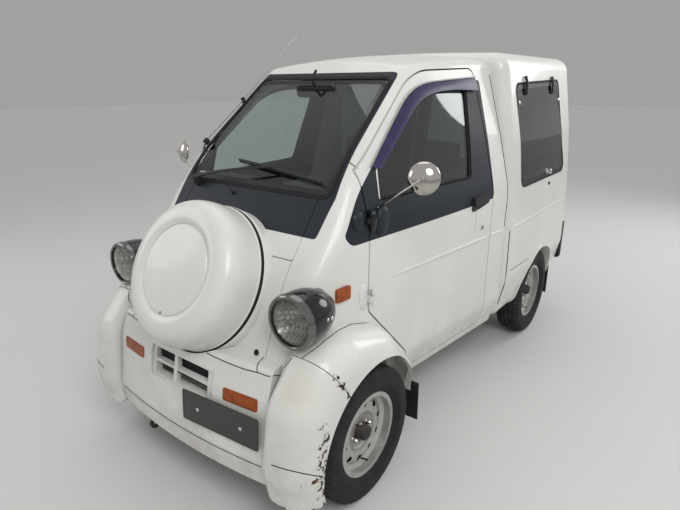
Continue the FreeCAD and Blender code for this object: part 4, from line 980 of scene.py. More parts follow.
class KeiStage(bpy.types.PropertyGroup):
    """Floor, light and camera"""

    floor_tone: colour_of("Floor", "Colour of the studio floor", (0.60, 0.597, 0.59))
    sky: bpy.props.FloatProperty(
        name="Sky", description="Strength of the even studio light", default=0.60, min=0.0, max=2.0)
    lens_mm: bpy.props.FloatProperty(
        name="Lens", description="Focal length on a 36 mm wide picture", default=27.63, min=10.0, max=200.0)


class KEI_OT_stage(bpy.types.Operator):
    """Pale floor, soft lamps and the camera of the picture"""

    bl_idname = "kei_car.stage"
    bl_label = "Stage"

    def execute(self, context):
        scene = context.scene
        stage = scene.kei_stage
        signs = ((-1, -1), (1, -1), (1, 1), (-1, 1))
        corners = [(FLOOR_REACH * a, FLOOR_REACH * b, 0.0) for a, b in signs]
        FINISHES["floor"] = studio_floor(tuple(stage.floor_tone))
        link_mesh("floor", mesh_from(corners, [(0, 1, 2, 3)]), "floor")
        scene.world = bpy.data.worlds.new("studio")
        scene.world.use_nodes = True
        make = Nodes(scene.world.node_tree).node
        path = make("ShaderNodeLightPath").outputs
        seen = make("ShaderNodeMath", {"operation": "MAXIMUM"}, {
            0: path["Is Camera Ray"], 1: path["Is Transmission Ray"],
        })
        level = make("ShaderNodeMapRange", None, {
            "Value": seen.outputs[0], "To Min": stage.sky, "To Max": stage.sky * stage.floor_tone[1],
        })
        sky = make("ShaderNodeBackground", None, {
            "Color": (1.0, 0.995, 0.985), "Strength": level.outputs[0],
        })
        make("ShaderNodeOutputWorld", None, {"Surface": sky.outputs[0]})
        lamps = (
            ("key", (3.4, -2.6, 4.0), 2.4, 112.0), ("fill", (-3.6, -2.8, 2.6), 2.2, 26.0),
            ("top", (-0.6, 0.8, 4.6), 3.2, 22.0), ("tail", (2.4, 4.6, 3.0), 2.4, 70.0),
        )
        target = Vector((0.0, 0.0, 0.7))
        for name, spot, size, power in lamps:
            light = bpy.data.lights.new(name, "AREA")
            light.shape = "DISK"
            light.size = size
            light.energy = power
            turn = (target - Vector(spot)).to_track_quat("-Z", "Y")
            self.stand(scene, bpy.data.objects.new(name, light), spot, turn)
        film = bpy.data.cameras.new("camera")
        film.sensor_width = 36.0
        film.lens = stage.lens_mm
        film.clip_start = 0.05
        film.clip_end = 200.0
        azimuth, elevation, roll = math.radians(37.587), math.radians(18.088), math.radians(-0.278)
        level_right = Vector((math.cos(azimuth), math.sin(azimuth), 0.0))
        back = Vector((math.sin(azimuth) * math.cos(elevation), -math.cos(azimuth) * math.cos(elevation),
                       math.sin(elevation)))
        level_up = back.cross(level_right)
        right = level_right * math.cos(roll) + level_up * math.sin(roll)
        up = level_up * math.cos(roll) - level_right * math.sin(roll)
        camera = bpy.data.objects.new("camera", film)
        turn = Matrix((right, up, back)).transposed().to_quaternion()
        self.stand(scene, camera, (1.554, -2.325, 1.545), turn)
        scene.camera = camera
        scene.view_settings.view_transform = "Standard"
        return {"FINISHED"}

    def stand(self, scene, thing, spot, turn):
        thing.location = spot
        thing.rotation_mode = "QUATERNION"
        thing.rotation_quaternion = turn
        scene.collection.objects.link(thing)


class KEI_OT_finishes(bpy.types.Operator):
    """Makes every finish and gives the CAD pieces theirs"""

    bl_idname = "kei_car.finishes"
    bl_label = "Finishes"

    def execute(self, context):
        paint = context.scene.kei_paint
        FINISHES.update({
            "white": body_paint("white_plain"),
            "white_banded": body_paint("white_banded", dark=True),
            "white_corner": body_paint("white_corner", corner=True),
            "white_spare": body_paint("white_spare", spare=True),
            "clear_glass": glass("clear_glass", (0.70, 0.78, 0.75)),
            "dark_glass": glass("dark_glass", (0.10, 0.115, 0.12)),
            "lamp_glass": glass("lamp_glass", (0.93, 0.95, 0.95), 0.02, 0.08),
            "rubber": rubber("rubber"),
            "flap": rubber("flap_rubber", (0.014, 0.014, 0.015), 0.62),
            "tyre": tyre_rubber(),
            "steel": wheel_steel(),
            "chrome": bright_metal("chrome"),
            "dull_chrome": bright_metal("dull_chrome", (0.45, 0.44, 0.43), 0.26, 0.8),
            "dark_chrome": bright_metal("dark_chrome", (0.190, 0.185, 0.182), 0.10, 0.3),
            "mirror_back": bright_metal("mirror_back", (0.50, 0.48, 0.45), 0.05, 0.7),
            "mirror": bright_metal("mirror_glass", (0.86, 0.87, 0.88), 0.015, 0.05),
            "lamp_black": lamp_black(),
            "reflector": lamp_bowl(),
            "chassis": dull_metal("chassis_black", (0.018, 0.018, 0.019), 0.35),
            "casting": dull_metal("casting", (0.085, 0.080, 0.075), 0.75),
            "amber": lens("amber_lens", tuple(paint.lamp_amber)),
            "red": lens("red_lens", (0.36, 0.016, 0.014)),
            "clear_lens": lens("clear_lens", (0.62, 0.61, 0.58)),
            "grey_trim": moulded("grey_trim", (0.060, 0.062, 0.066)),
            "black_trim": moulded("black_trim", (0.014, 0.014, 0.015), 0.48),
            "visor": moulded("visor_plastic", tuple(paint.visor_tint), 0.34, 90.0, 0.00003),
            "blank_plate": moulded("blank_plate", (0.045, 0.043, 0.040), 0.40, 300.0, 0.00004),
            "seat": seat_cloth(),
        })
        for name, nodes in NODE_FINISHES.items():
            for node in nodes.split():
                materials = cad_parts[node].data.materials
                materials.clear()
                materials.append(FINISHES[name])
        return {"FINISHED"}


class KEI_OT_door_trim(bpy.types.Operator):
    """Visors, window rubbers, handles, locks, linings, pulls and winders of both doors"""

    bl_idname = "kei_car.door_trim"
    bl_label = "Door trim"

    def execute(self, context):
        skin = Skin("door_left")
        pane = Skin("door_glass_left")
        # visor: its outer edge stuck to the door, its inner edge standing off
        stand = context.scene.kei_trim.visor_stand
        outer, inner = smooth_line(VISOR_OUTER, 44), smooth_line(VISOR_INNER, 44)
        top = []
        for t in between(0.0, 1.0, 7):
            lift = 0.004 + (stand - 0.004) * math.sin(t * math.pi / 2)
            top.append([a.lerp(b, t) + VISOR_OUT * lift for a, b in zip(outer, inner)])
        foot = [[p - VISOR_OUT * 0.003 for p in row] for row in top]
        both("visor", slab(top, foot), "visor", DOORS)
        rim = [p + VISOR_OUT * 0.006 for p in outer]
        both("visor_bead", tube(rim, 0.0032, 8), "dull_chrome", DOORS)
        # window rubber, and the upright bar ahead of the glass
        line = [pane.beside(p.x, p.y, 0.003) for p in grown(rounded(DOOR_WINDOW, 8), -0.004)]
        both("window_rubber", tube(line, 0.0055, 10, closed=True), "rubber", DOORS)
        bar = [pane.beside(-0.698 + 0.016 * k / 8, 1.132 + 0.130 * k / 8, 0.006) for k in range(9)]
        both("glass_bar", tube(bar, 0.0045, 8), "dull_chrome", DOORS)
        # handle: a dark shell let into the band, with a paddle; and the lock below it
        shell = plate(rounded(HANDLE_SHELL, 5), skin.side, -0.003, 0.007)
        both("handle_shell", shell, "black_trim", DOORS, edge=0.003)
        paddle = plate(rounded(HANDLE_PADDLE, 5), skin.side, 0.006, 0.016)
        both("handle_paddle", paddle, "black_trim", DOORS, edge=0.004)
        spot, out = skin.side(0.060, 0.877)
        barrel = lathe(capped((-0.002, 0.0125), (0.0025, 0.0125), (0.004, 0.0105), (0.004, 0.0072),
                              (0.0024, 0.0066)), spot, out, 28)
        both("door_lock", barrel, "dull_chrome", DOORS, angle=25.0)
        slot = block((-0.0008, -0.0045, 0.0), (0.0008, 0.0045, 0.0032))
        slot.transform(Matrix.Translation(spot) @ out.to_track_quat("Z", "Y").to_matrix().to_4x4())
        both("lock_slot", slot, "rubber", DOORS, edge=0.0003)
        # inside: a lining that follows the door's inner skin, a pull and a window winder

        def inward(y, z, height):
            spot, out = skin.inner(y, z)
            return spot + out * height

        sheets = []
        for height in (0.005, -0.001):
            rows = []
            for z in between(0.400, 0.930, 15):
                start = -0.640 + max(0.0, 0.740 - z) * 0.45
                rows.append([inward(y, z, height) for y in between(start, 0.080, 21)])
            sheets.append(rows)
        both("door_lining", slab(*sheets), "grey_trim", DOORS, edge=0.0015)
        grip = [inward(*p) for p in ((-0.330, 0.800, 0.004), (-0.310, 0.806, 0.030), (-0.180, 0.812, 0.040),
                                     (-0.050, 0.806, 0.030), (-0.030, 0.800, 0.004))]
        both("door_pull", tube(smooth_line(grip, 26), 0.010, 12), "black_trim", DOORS)
        hub, out = skin.inner(-0.420, 0.640)
        swing = Vector((0.0, 0.090, -0.030))
        boss = [(0.004, 0.0), (0.004, 0.026), (0.012, 0.024), (0.022, 0.012), (0.024, 0.0)]
        crank = lathe(boss, hub, out, 28)
        arm = tube([hub + out * 0.016, hub + out * 0.026 + swing], 0.006, 10)
        knob = lathe(capped((0.020, 0.011), (0.046, 0.012), (0.050, 0.008)), hub + swing, out, 20)
        both("window_winder", joined([crank, arm, knob]), "black_trim", DOORS, angle=40.0)
        return {"FINISHED"}


class KEI_OT_box_windows(bpy.types.Operator):
    """Black edges, clips, bolts and catch of the two side windows, and the dark glass itself"""

    bl_idname = "kei_car.box_windows"
    bl_label = "Box windows"

    def execute(self, context):
        skin = Skin("fixed_glasses", "cargo_body")
        outline = grown(rounded(QUARTER_WINDOW, 8), -0.0015)
        pane = plate(outline, skin.side, 0.0006, 0.0032)
        both("quarter_pane", pane, "dark_glass", edge=0.0008)
        ring = ring_plate(grown(outline, 0.004), grown(outline, -0.009), skin.side, 0.0004, 0.0048)
        both("quarter_rubber", ring, "rubber", edge=0.001)
        border = ring_plate(grown(outline, -0.008), grown(outline, -0.030), skin.side, 0.0030, 0.0036)
        both("quarter_border", border, "black_trim")
        clips = []
        for y in (0.566, 1.017):
            low, out = skin.side(y, 1.500)
            high, up_out = skin.side(y, 1.582)
            line = [low + out * 0.010, low.lerp(high, 0.5) + out * 0.014, high + up_out * 0.008]
            clips.append(tube(line, 0.013, 12, flat=0.55, up=out))
            clips.append(lathe(capped((0.0, 0.015), (0.010, 0.014), (0.014, 0.010)), low, out, 20))
        both("quarter_clips", joined(clips), "black_trim", angle=50.0)
        bolt = capped((0.0, 0.011), (0.0055, 0.010), (0.0075, 0.006))
        bolts = [lathe(bolt, *skin.side(y, 1.450), 18) for y in (0.462, 1.150)]
        both("quarter_bolts", joined(bolts), "chrome")
        spot, out = skin.side(0.905, 1.046)
        knob = lathe(capped((0.0, 0.017), (0.006, 0.017), (0.008, 0.010), (0.020, 0.009), (0.022, 0.014),
                            (0.028, 0.014), (0.031, 0.009)), spot, out, 28)
        arm = tube([spot + out * 0.008, spot + out * 0.010 + Vector((0.0, -0.042, 0.004))], 0.006, 10)
        both("window_catch", joined([knob, arm]), "chrome", angle=40.0)
        stud = capped((-0.001, 0.010), (0.003, 0.010), (0.007, 0.006))
        both("box_stud", lathe(stud, *Skin("cargo_body").side(0.958, 0.968), 20), "rubber")
        return {"FINISHED"}


class KEI_OT_screen_trim(bpy.types.Operator):
    """Wiper, washer jet, aerial clips and the screen's black border"""

    bl_idname = "kei_car.screen_trim"
    bl_label = "Screen trim"

    def execute(self, context):
        screen = Skin("fixed_glasses")
        up = Vector((0.0, math.cos(SCREEN_SLOPE), math.sin(SCREEN_SLOPE)))
        out = Vector((0.0, -math.sin(SCREEN_SLOPE), math.cos(SCREEN_SLOPE)))

        def on_glass(u, v):
            return screen.meet(SCREEN_FOOT + X_AXIS * u + up * v + out * 0.4, -out)[0], out

        edge, turn = 0.020, 0.030
        foot, top, high = SCREEN_HALF_FOOT - edge, SCREEN_HALF_TOP - edge, SCREEN_LENGTH - edge
        outline = rounded([(-foot, edge, turn), (foot, edge, turn), (top, high, turn), (-top, high, turn)], 8)
        border = ring_plate(outline, grown(outline, -0.020), on_glass, 0.0004, 0.0010)
        put("screen_border", border, "black_trim")
        # wiper: pivot at the car's right, arm and blade reaching across the glass
        root = Vector((-0.318, -0.904, 1.150))
        blade = []
        for t in between(0.0, 1.0, 25):
            spot = on_glass(-0.130 + 0.475 * t, 0.112 - 0.054 * t)[0]
            blade.append(spot + out * (0.009 + 0.002 * math.sin(t * math.pi)))
        spine = [p + out * (0.010 + 0.006 * math.sin(i / 24 * math.pi)) for i, p in enumerate(blade)]
        grip = spine[11]
        elbow = root + Vector((0.060, 0.008, 0.022)) + out * 0.020
        arm = [root + out * 0.024, elbow, elbow.lerp(grip, 0.5) + out * 0.012, grip + out * 0.006]
        taper = [0.0105 - 0.0055 * min(1.0, k / 14) for k in range(24)]
        pivot = capped((-0.012, 0.019), (0.010, 0.017), (0.030, 0.014), (0.034, 0.010))
        wiper = joined([
            tube(blade, 0.0045, 8, flat=1.6, up=out), tube(spine, 0.0050, 8, flat=0.6, up=out),
            tube(smooth_line(arm, 24), taper, 10, flat=0.6, up=out), lathe(pivot, root, out, 28),
        ])
        put("wiper", wiper, "black_trim", angle=45.0)
        spot, normal = Skin("cowl_panel").front(-0.085, 1.122)
        jet = [spot + normal * 0.008, spot + normal * 0.012 + Vector((-0.020, 0.004, 0.012))]
        base = lathe(capped((-0.002, 0.008), (0.006, 0.007), (0.010, 0.0035)), spot, normal, 18)
        put("washer_jet", joined([base, tube(jet, 0.0030, 8)]), "rubber")
        clips = [tube([(-0.392, -0.540, 1.462), (-0.404, -0.540, 1.486)], 0.010, 14),
                 tube([(-0.398, -0.787, 1.296), (-0.398, -0.772, 1.310)], 0.013, 14)]
        put("aerial_clips", joined(clips), "rubber")
        return {"FINISHED"}


class KEI_OT_lamps(bpy.types.Operator):
    """Head lamps: bullet shells, rings, bowls, bulbs and clamp screws"""

    bl_idname = "kei_car.lamps"
    bl_label = "Lamps"

    def execute(self, context):
        side = smooth_line([
            (0.006, 0.0935, 0.0), (0.050, 0.0950, 0.0), (0.095, 0.0905, 0.0), (0.140, 0.0750, 0.0),
            (0.180, 0.0480, 0.0), (0.202, 0.0210, 0.0), (0.208, 0.0, 0.0)], 26)
        shell = [(p.x, max(p.y, 0.0)) for p in side]
        shell += [(0.180, 0.0), (0.120, 0.060), (0.090, 0.086), (0.006, 0.088)]
        both("lamp_shell", lathe(shell, LAMP, Y_AXIS, 72), "lamp_black", angle=50.0,
             stands_for="headlamp_shells")
        ring = [(-0.0065, 0.0820), (-0.0085, 0.0845), (-0.0085, 0.0900), (-0.0050, 0.0940), (0.0040, 0.0968),
                (0.0150, 0.0975), (0.0165, 0.0960), (0.0165, 0.0925), (0.0030, 0.0925), (0.0030, 0.0850),
                (-0.0040, 0.0820)]
        both("lamp_ring", lathe(ring, LAMP, Y_AXIS, 72), "dark_chrome", angle=28.0,
             stands_for="headlamp_shells")
        bowl = [(0.010 + 0.062 * (1 - t * t), 0.014 + 0.066 * t) for t in between(0.0, 1.0, 13)]
        wall = [(d + 0.0015, r + 0.0015) for d, r in reversed(bowl)]
        both("lamp_bowl", lathe(bowl + wall, LAMP, Y_AXIS, 64), "reflector", angle=60.0)
        bulb = [(0.012, 0.0), (0.014, 0.006), (0.022, 0.0085), (0.040, 0.0085), (0.052, 0.006),
                (0.070, 0.006), (0.070, 0.0)]
        both("lamp_bulb", lathe(bulb, LAMP, Y_AXIS, 20), "clear_lens")
        screw = capped((-0.006, 0.007), (0.004, 0.0065), (0.006, 0.004))
        screws = []
        for z, y in ((0.862, -1.101), (0.881, -1.124)):
            out = Vector((0.80, 0.0, z - LAMP.z - 0.02)).normalized()
            screws.append(lathe(screw, LAMP + Y_AXIS * (y - LAMP.y) + out * 0.088, out, 16))
        both("lamp_screws", joined(screws), "chrome")
        return {"FINISHED"}


class KEI_OT_mirrors(bpy.types.Operator):
    """Round chrome mirrors on thin arms, their feet and the swellings round them"""

    bl_idname = "kei_car.mirrors"
    bl_label = "Mirrors"

    def execute(self, context):
        ahead = Vector((0.40, -0.905, 0.14)).normalized()
        radius = MIRROR_RADIUS
        head = [(-0.0045, 0.0), (-0.0045, radius - 0.004), (-0.003, radius - 0.0015), (0.0, radius),
                (0.003, radius - 0.0005), (0.008, radius - 0.004), (0.018, radius * 0.76),
                (0.025, radius * 0.50), (0.0290, radius * 0.22), (0.030, 0.0)]
        both("mirror_head", lathe(head, MIRROR, ahead, 56), "mirror_back", DOORS, angle=32.0,
             stands_for=MIRRORS)
        sheet = capped((-0.0052, radius - 0.005), (-0.0046, radius - 0.005))
        both("mirror_glass", lathe(sheet, MIRROR, ahead, 48), "mirror", DOORS)
        foot = Vector((0.503, -0.722, 1.108))
        elbow = MIRROR + ahead * 0.036
        line = [foot, foot.lerp(elbow, 0.5) - Y_AXIS * 0.004, elbow, MIRROR + ahead * 0.027]
        knob = lathe(capped((0.026, 0.011), (0.034, 0.010), (0.040, 0.0055)), MIRROR, ahead, 24)
        arm = joined([tube(line, 0.0038, 12), knob])
        both("mirror_arm", arm, "mirror_back", DOORS, angle=50.0)
        door, cab = Skin("door_left"), Skin("cab_shell")
        pad = swelling(door, -0.776, 1.062, 0.002, (-0.05, 0.14, -1.0), None, 0.050, 0.018, 0.026)
        both("mirror_foot", pad, "lamp_black", DOORS, angle=70.0, stands_for=MIRRORS)
        swell = swelling(door, -0.712, 1.054, 0.004, (0.0, 0.10, 1.0), (0.0, 1.0, -0.10), 0.062, 0.044, 0.022)
        both("mirror_swell", swell, "white_banded", DOORS, angle=70.0)
        stem = lathe(capped((0.0, 0.011), (0.010, 0.010), (0.014, 0.0065)),
                     foot - Vector((0.006, 0.0, 0.008)), (0.4, 0.0, 1.0), 20)
        both("mirror_stem", stem, "lamp_black", DOORS)
        bulge = swelling(cab, -0.842, 1.073, 0.003, Z_AXIS, Y_AXIS, 0.041, 0.035, 0.018)
        both("pillar_bulge", bulge, "white_banded", angle=70.0)
        low = swelling(cab, -0.818, 0.778, 0.003, Z_AXIS, Y_AXIS, 0.058, 0.026, 0.010)
        both("hinge_bulge", low, "white", angle=70.0)
        return {"FINISHED"}


def tread_pitch(blocks, depth):
    """One pitch of tyre: wall, shoulder lugs and ribs, as a thin closed slice of the ring."""
    # (distance, radius, kind): 0 wall, 1 shoulder lug, 2 groove, 3 slotted rib, 4 middle rib
    half = [
        (-0.0530, 0.1555, 0), (-0.0530, 0.1690, 0), (-0.0600, 0.1730, 0), (-0.0655, 0.1830, 0),
        (-0.0700, 0.1940, 0), (-0.0712, 0.1965, 0), (-0.0722, 0.1970, 0), (-0.0735, 0.2060, 0),
        (-0.0735, 0.2180, 0), (-0.0732, 0.2200, 0), (-0.0728, 0.2350, 0), (-0.0718, 0.2450, 0),
        (-0.0690, 0.2540, 0), (-0.0660, 0.2600, 1), (-0.0610, 0.2655, 1), (-0.0550, 0.2680, 1),
        (-0.0440, 0.2695, 1), (-0.0400, 0.2697, 1), (-0.0399, 0.2697, 2), (-0.0331, 0.2702, 2),
        (-0.0330, 0.2702, 3), (-0.0160, 0.2707, 3), (-0.0159, 0.2707, 2), (-0.0091, 0.2709, 2),
        (-0.0090, 0.2709, 4), (0.0, 0.2710, 4),
    ]
    outer = half + [(-d, r, kind) for d, r, kind in reversed(half[:-1])]
    inner = [(0.0460, 0.1555), (0.0460, 0.1800), (0.0640, 0.2100), (0.0600, 0.2400), (0.0400, 0.2560)]
    inner += [(-d, r) for d, r in reversed(inner)]
    rows = []
    for share in (-1.0, -0.62, -0.60, -0.02, 0.0, 0.30, 0.32, 0.98, 1.0):
        turn = share * math.pi / blocks
        row = []
        for d, r, kind in outer:
            lean = turn + (abs(d) - 0.02) * 0.6 if kind in (3, 4) else turn
            drop = depth if kind == 2 else 0.0
            if kind == 1 and (share <= -0.60 or share >= 0.98):
                drop = depth * (0.8 if abs(d) > 0.058 else 1.0)
            if kind == 3 and 0.0 <= share <= 0.30:
                drop = depth * 0.7
            row.append(Vector((d, (r - drop) * math.cos(lean), (r - drop) * math.sin(lean))))
        rows.append(row + [Vector((d, r * math.cos(turn), r * math.sin(turn))) for d, r in inner])
    return grid_mesh(rows, wrap_columns=True)


class KEI_OT_wheels(bpy.types.Operator):
    """Treaded tyres, wheel nuts, hub caps and valves"""

    bl_idname = "kei_car.wheels"
    bl_label = "Wheels"

    def execute(self, context):
        trim = context.scene.kei_trim
        pitch = tread_pitch(trim.tread_blocks, trim.tread_depth)
        carcass = repeated(pitch, True, "tyre", Count=trim.tread_blocks, First_turn=0.0)
        flat = trim.nut_size / 2
        nut = [(0.0, 0.0), (0.0, flat * 1.16), (0.003, flat * 1.16), (0.004, flat * 1.06),
               (0.012, flat * 1.06), (0.019, flat * 0.82), (0.023, flat * 0.40), (0.024, 0.0)]
        collar = capped((-0.001, flat * 1.35), (0.002, flat * 1.35), (0.003, flat * 1.2))
        base = X_AXIS * 0.010
        stud = joined([lathe(nut, base, X_AXIS, 6), lathe(collar, base, X_AXIS, 18)])
        stud.transform(Matrix.Translation(Z_AXIS * 0.047))
        nuts = repeated(stud, True, "dull_chrome", Count=4, First_turn=0.35)
        cap = lathe(capped((0.0102, 0.034), (0.013, 0.0345), (0.016, 0.0325), (0.042, 0.0305), (0.049, 0.026),
                           (0.052, 0.014)), (0.0, 0.0, 0.0), X_AXIS, 40)
        valve = tube([(0.020, 0.0, -0.128), (0.034, 0.0, -0.124), (0.050, 0.0, -0.122)], 0.0036, 10)
        for wheel in WHEELS:
            low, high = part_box("tyre_" + wheel)
            side = 1.0 if wheel.endswith("left") else -1.0
            place = Matrix.Translation((WHEEL_X * side, (low.y + high.y) / 2, TYRE_RADIUS))
            if side < 0:
                place = place @ Matrix.Rotation(math.pi, 4, "Z")
            shapes = (
                ("tread", carcass, "tyre", "tyre", "tyre_" + wheel),
                ("nuts", nuts, "dull_chrome", "chrome", None),
                ("hub_cap", cap, "chassis", "cast", None),
                ("valve", valve, "rubber", "rubber", None),
            )
            for label, shape, coat, slot, node in shapes:
                own = shape.copy()
                own.transform(place)
                put(label + "_" + wheel, own, coat, "wheel_" + wheel, angle=30.0, stands_for=node)
        return {"FINISHED"}


def blank_plate(label, outline, place, body, board, rim, bolt, bolt_v):
    """A blank number plate with a pressed rim and two bolts; gives the bolts' places."""
    sheet = plate(outline, place, *board)
    edge = ring_plate(grown(outline, rim[0]), grown(outline, rim[1]), place, *rim[2:])
    put(label, joined([sheet, edge]), "blank_plate", body, edge=0.0004)
    spots = [place(u, bolt_v) for u in (-PLATE_BOLT_X, PLATE_BOLT_X)]
    bolts = joined([lathe(capped(*bolt), spot, out, 18) for spot, out in spots])
    put(label + "_bolts", bolts, "chrome", body)
    return spots


class KEI_OT_nose(bpy.types.Operator):
    """Blank front plate, grille backing, hood plug and the spare wheel under its cover"""

    bl_idname = "kei_car.nose"
    bl_label = "Nose details"

    def execute(self, context):
        trim = context.scene.kei_trim
        half_w, half_h = trim.plate_width / 2, trim.plate_height / 2
        place = flat_place((0.240, -1.331, 0.414), (1.0, 0.085, 0.0), (0.0, 0.075, 1.0))
        spots = blank_plate("front_plate", oblong(-half_w, -half_h, half_w, half_h, 0.010), place, "body",
                            (0.0, 0.0016), (-0.0035, -0.0065, 0.0014, 0.0026),
                            ((0.001, 0.0075), (0.0045, 0.007), (0.006, 0.004)), 0.0)
        stays = joined([tube([spot - out * 0.001, spot - out * 0.040], 0.008, 10) for spot, out in spots])
        put("front_plate_stays", stays, "rubber")
        # dark wall and bars behind the grille's slots
        deep = flat_place((0.0, -1.262, 0.0), X_AXIS, Z_AXIS)
        wall = plate(oblong(-0.175, 0.462, 0.160, 0.560, 0.006, 3), deep, 0.0, 0.004)
        put("grille_wall", wall, "rubber")
        bar = block((-0.165, -0.003, -0.0016), (0.150, 0.003, 0.0016), 0.0006)
        bars = repeated(bar, False, "black_trim", Count=9, Step=(0.0, 0.0, 0.0105))
        bars.transform(Matrix.Translation((0.0, -1.274, 0.469)))
        put("grille_bars", bars, "black_trim")
        plug = capped((-0.001, 0.0115), (0.002, 0.0115), (0.003, 0.0095), (0.003, 0.007), (0.0012, 0.0062))
        put("hood_plug", lathe(plug, *Skin("hood_panel").front(0.307, 0.640), 24), "rubber")
        # spare wheel's cover: flat cap, sloped ring round it, wide rounded rim and rolled edge
        dish = [(-0.0040, 0.0), (-0.0040, 0.150), (-0.0050, 0.1660), (-0.0085, 0.1688), (-0.0088, 0.1712),
                (-0.0050, 0.1730), (0.0, 0.1855)]
        for turn in between(0.0, math.pi / 2, 29):
            dish.append((-0.150 + 0.151 * math.cos(turn) ** 0.58, 0.188 + 0.0920 * math.sin(turn) ** 0.58))
        dish += [(-0.1515, 0.2822), (-0.1545, 0.2835), (-0.1575, 0.2825), (-0.1585, 0.2795),
                 (-0.1565, 0.2755), (-0.150, 0.2740), (-0.040, 0.2500), (-0.014, 0.1800), (-0.014, 0.0)]
        joint = [(-0.1580, 0.262), (-0.1580, 0.2800), (-0.1600, 0.2840), (-0.1700, 0.2860), (-0.1700, 0.262)]
        collar = [(-0.1680, 0.268), (-0.1680, 0.2845), (-0.1710, 0.2872), (-0.1900, 0.2884),
                  (-0.2450, 0.2886), (-0.2450, 0.268)]
        # the wheel inside, which shows from behind and below
        tyre = [(-0.022, 0.120), (-0.022, 0.205), (-0.030, 0.238), (-0.045, 0.2535), (-0.060, 0.2570),
                (-0.120, 0.2620), (-0.146, 0.2560), (-0.158, 0.235), (-0.158, 0.175), (-0.100, 0.165),
                (-0.100, 0.060), (-0.090, 0.060), (-0.060, 0.120)]
        for label, profile, steps, coat, slot, angle, node in (
                ("spare_dish", dish, 128, "white_spare", "white_paint", 28.0, "spare_cover"),
                ("spare_joint", joint, 96, "rubber", "rubber", 35.0, None),
                ("spare_collar", collar, 128, "white", "white_paint", 50.0, None),
                ("spare_tyre", tyre, 64, "tyre", "tyre", 35.0, "spare_wheel")):
            shape = lathe(profile, SPARE_FACE, SPARE_AXIS, steps)
            put(label, shape, coat, angle=angle, stands_for=node)
        # screw at the foot of the cover's cap
        spot = SPARE_FACE - SPARE_AXIS * 0.0045 - SPARE_AXIS.cross(X_AXIS) * 0.160
        screw = lathe(capped((-0.001, 0.0065), (0.002, 0.006), (0.0035, 0.0035)), spot, SPARE_AXIS, 16)
        put("cover_screw", screw, "dull_chrome")
        return {"FINISHED"}


class KEI_OT_seams(bpy.types.Operator):
    """Dark joints between the panels, the waist bead, and the slatted grille"""

    bl_idname = "kei_car.seams"
    bl_label = "Seams and grille"

    def execute(self, context):
        nose = Skin("cab_shell", "hood_panel", "front_bumper", "bumper_corners", "front_fenders")
        reach = Vector((0.30, -0.72, 0.62)).normalized()
        for label, points in NOSE_SEAMS.items():
            line = [nose.meet(p + reach * 0.15, -reach)[0] for p in smooth_line(points, 40)]
            both(label, tube(line, SEAM_RADIUS, 8), "rubber")
        bumper = Skin("front_bumper")
        lip = [bumper.front(x, 0.287)[0] for x in between(-0.425, 0.425, 25)]
        put("lip_seam", tube(smooth_line(lip, 90), SEAM_RADIUS, 8), "rubber")
        # joints of the box with the cab, and over its foot panel
        skin = Skin("cab_shell", "cargo_body")
        upper = [skin.beside(0.298, z) for z in between(0.835, 1.585, 13)]
        lower = [skin.beside(0.343, z) for z in (0.802, 0.70, 0.60, 0.50, 0.42, 0.372)]
        foot = [skin.beside(y, 0.570 - (y - 0.346) * 0.030) for y in (0.346, 0.40, 0.50, 0.60, 0.68)]
        joints = [tube(smooth_line(line, 40), radius, 8)
                  for line, radius in ((upper, 0.0020), (lower, 0.0024), (foot, 0.0015))]
        both("box_joints", joined(joints), "rubber")
        # waist bead, in three lengths
        ramp = [0.0085 * min(1.0, 0.25 + 0.25 * min(k, 30 - k)) for k in range(31)]
        spans = (
            ("door_waist", "door_left", DOORS, -0.640, 0.139),
            ("cab_waist", "cab_shell", "body", 0.153, 0.286),
            ("box_waist", "cargo_body", "body", 0.350, 1.350),
        )
        for label, node, bodies, start, end in spans:
            side = Skin(node)
            line = [side.beside(y, WAIST_Z) for y in between(start, end, 31)]
            bead = tube(line, ramp, 14, flat=0.42, up=X_AXIS)
            both(label, bead, "white", bodies, angle=80.0)
        # grille: frame, slat and post, standing in the bumper's pocket

        def pocket(u, v):
            high, low = bumper.front(u, 0.580)[0], bumper.front(u, 0.428)[0]
            return low.lerp(high, (v - 0.428) / 0.152), -Y_AXIS

        parts = [ring_plate(oblong(-0.1865, 0.4415, 0.1865, 0.5645, 0.010),
                            oblong(-0.166, 0.450, 0.152, 0.5565, 0.008), pocket, -0.040, -0.006)]
        for x0, z0, x1, z1 in ((-0.168, 0.4965, 0.154, 0.5095), (-0.048, 0.448, -0.028, 0.558)):
            run = [Vector((x, z0)) for x in between(x0, x1, 13)]
            run += [Vector((x, z1)) for x in between(x1, x0, 13)]
            parts.append(plate(run, pocket, -0.030, -0.009))
        put("grille_frame", joined(parts), "white", edge=0.0015, stands_for="front_grille")
        return {"FINISHED"}


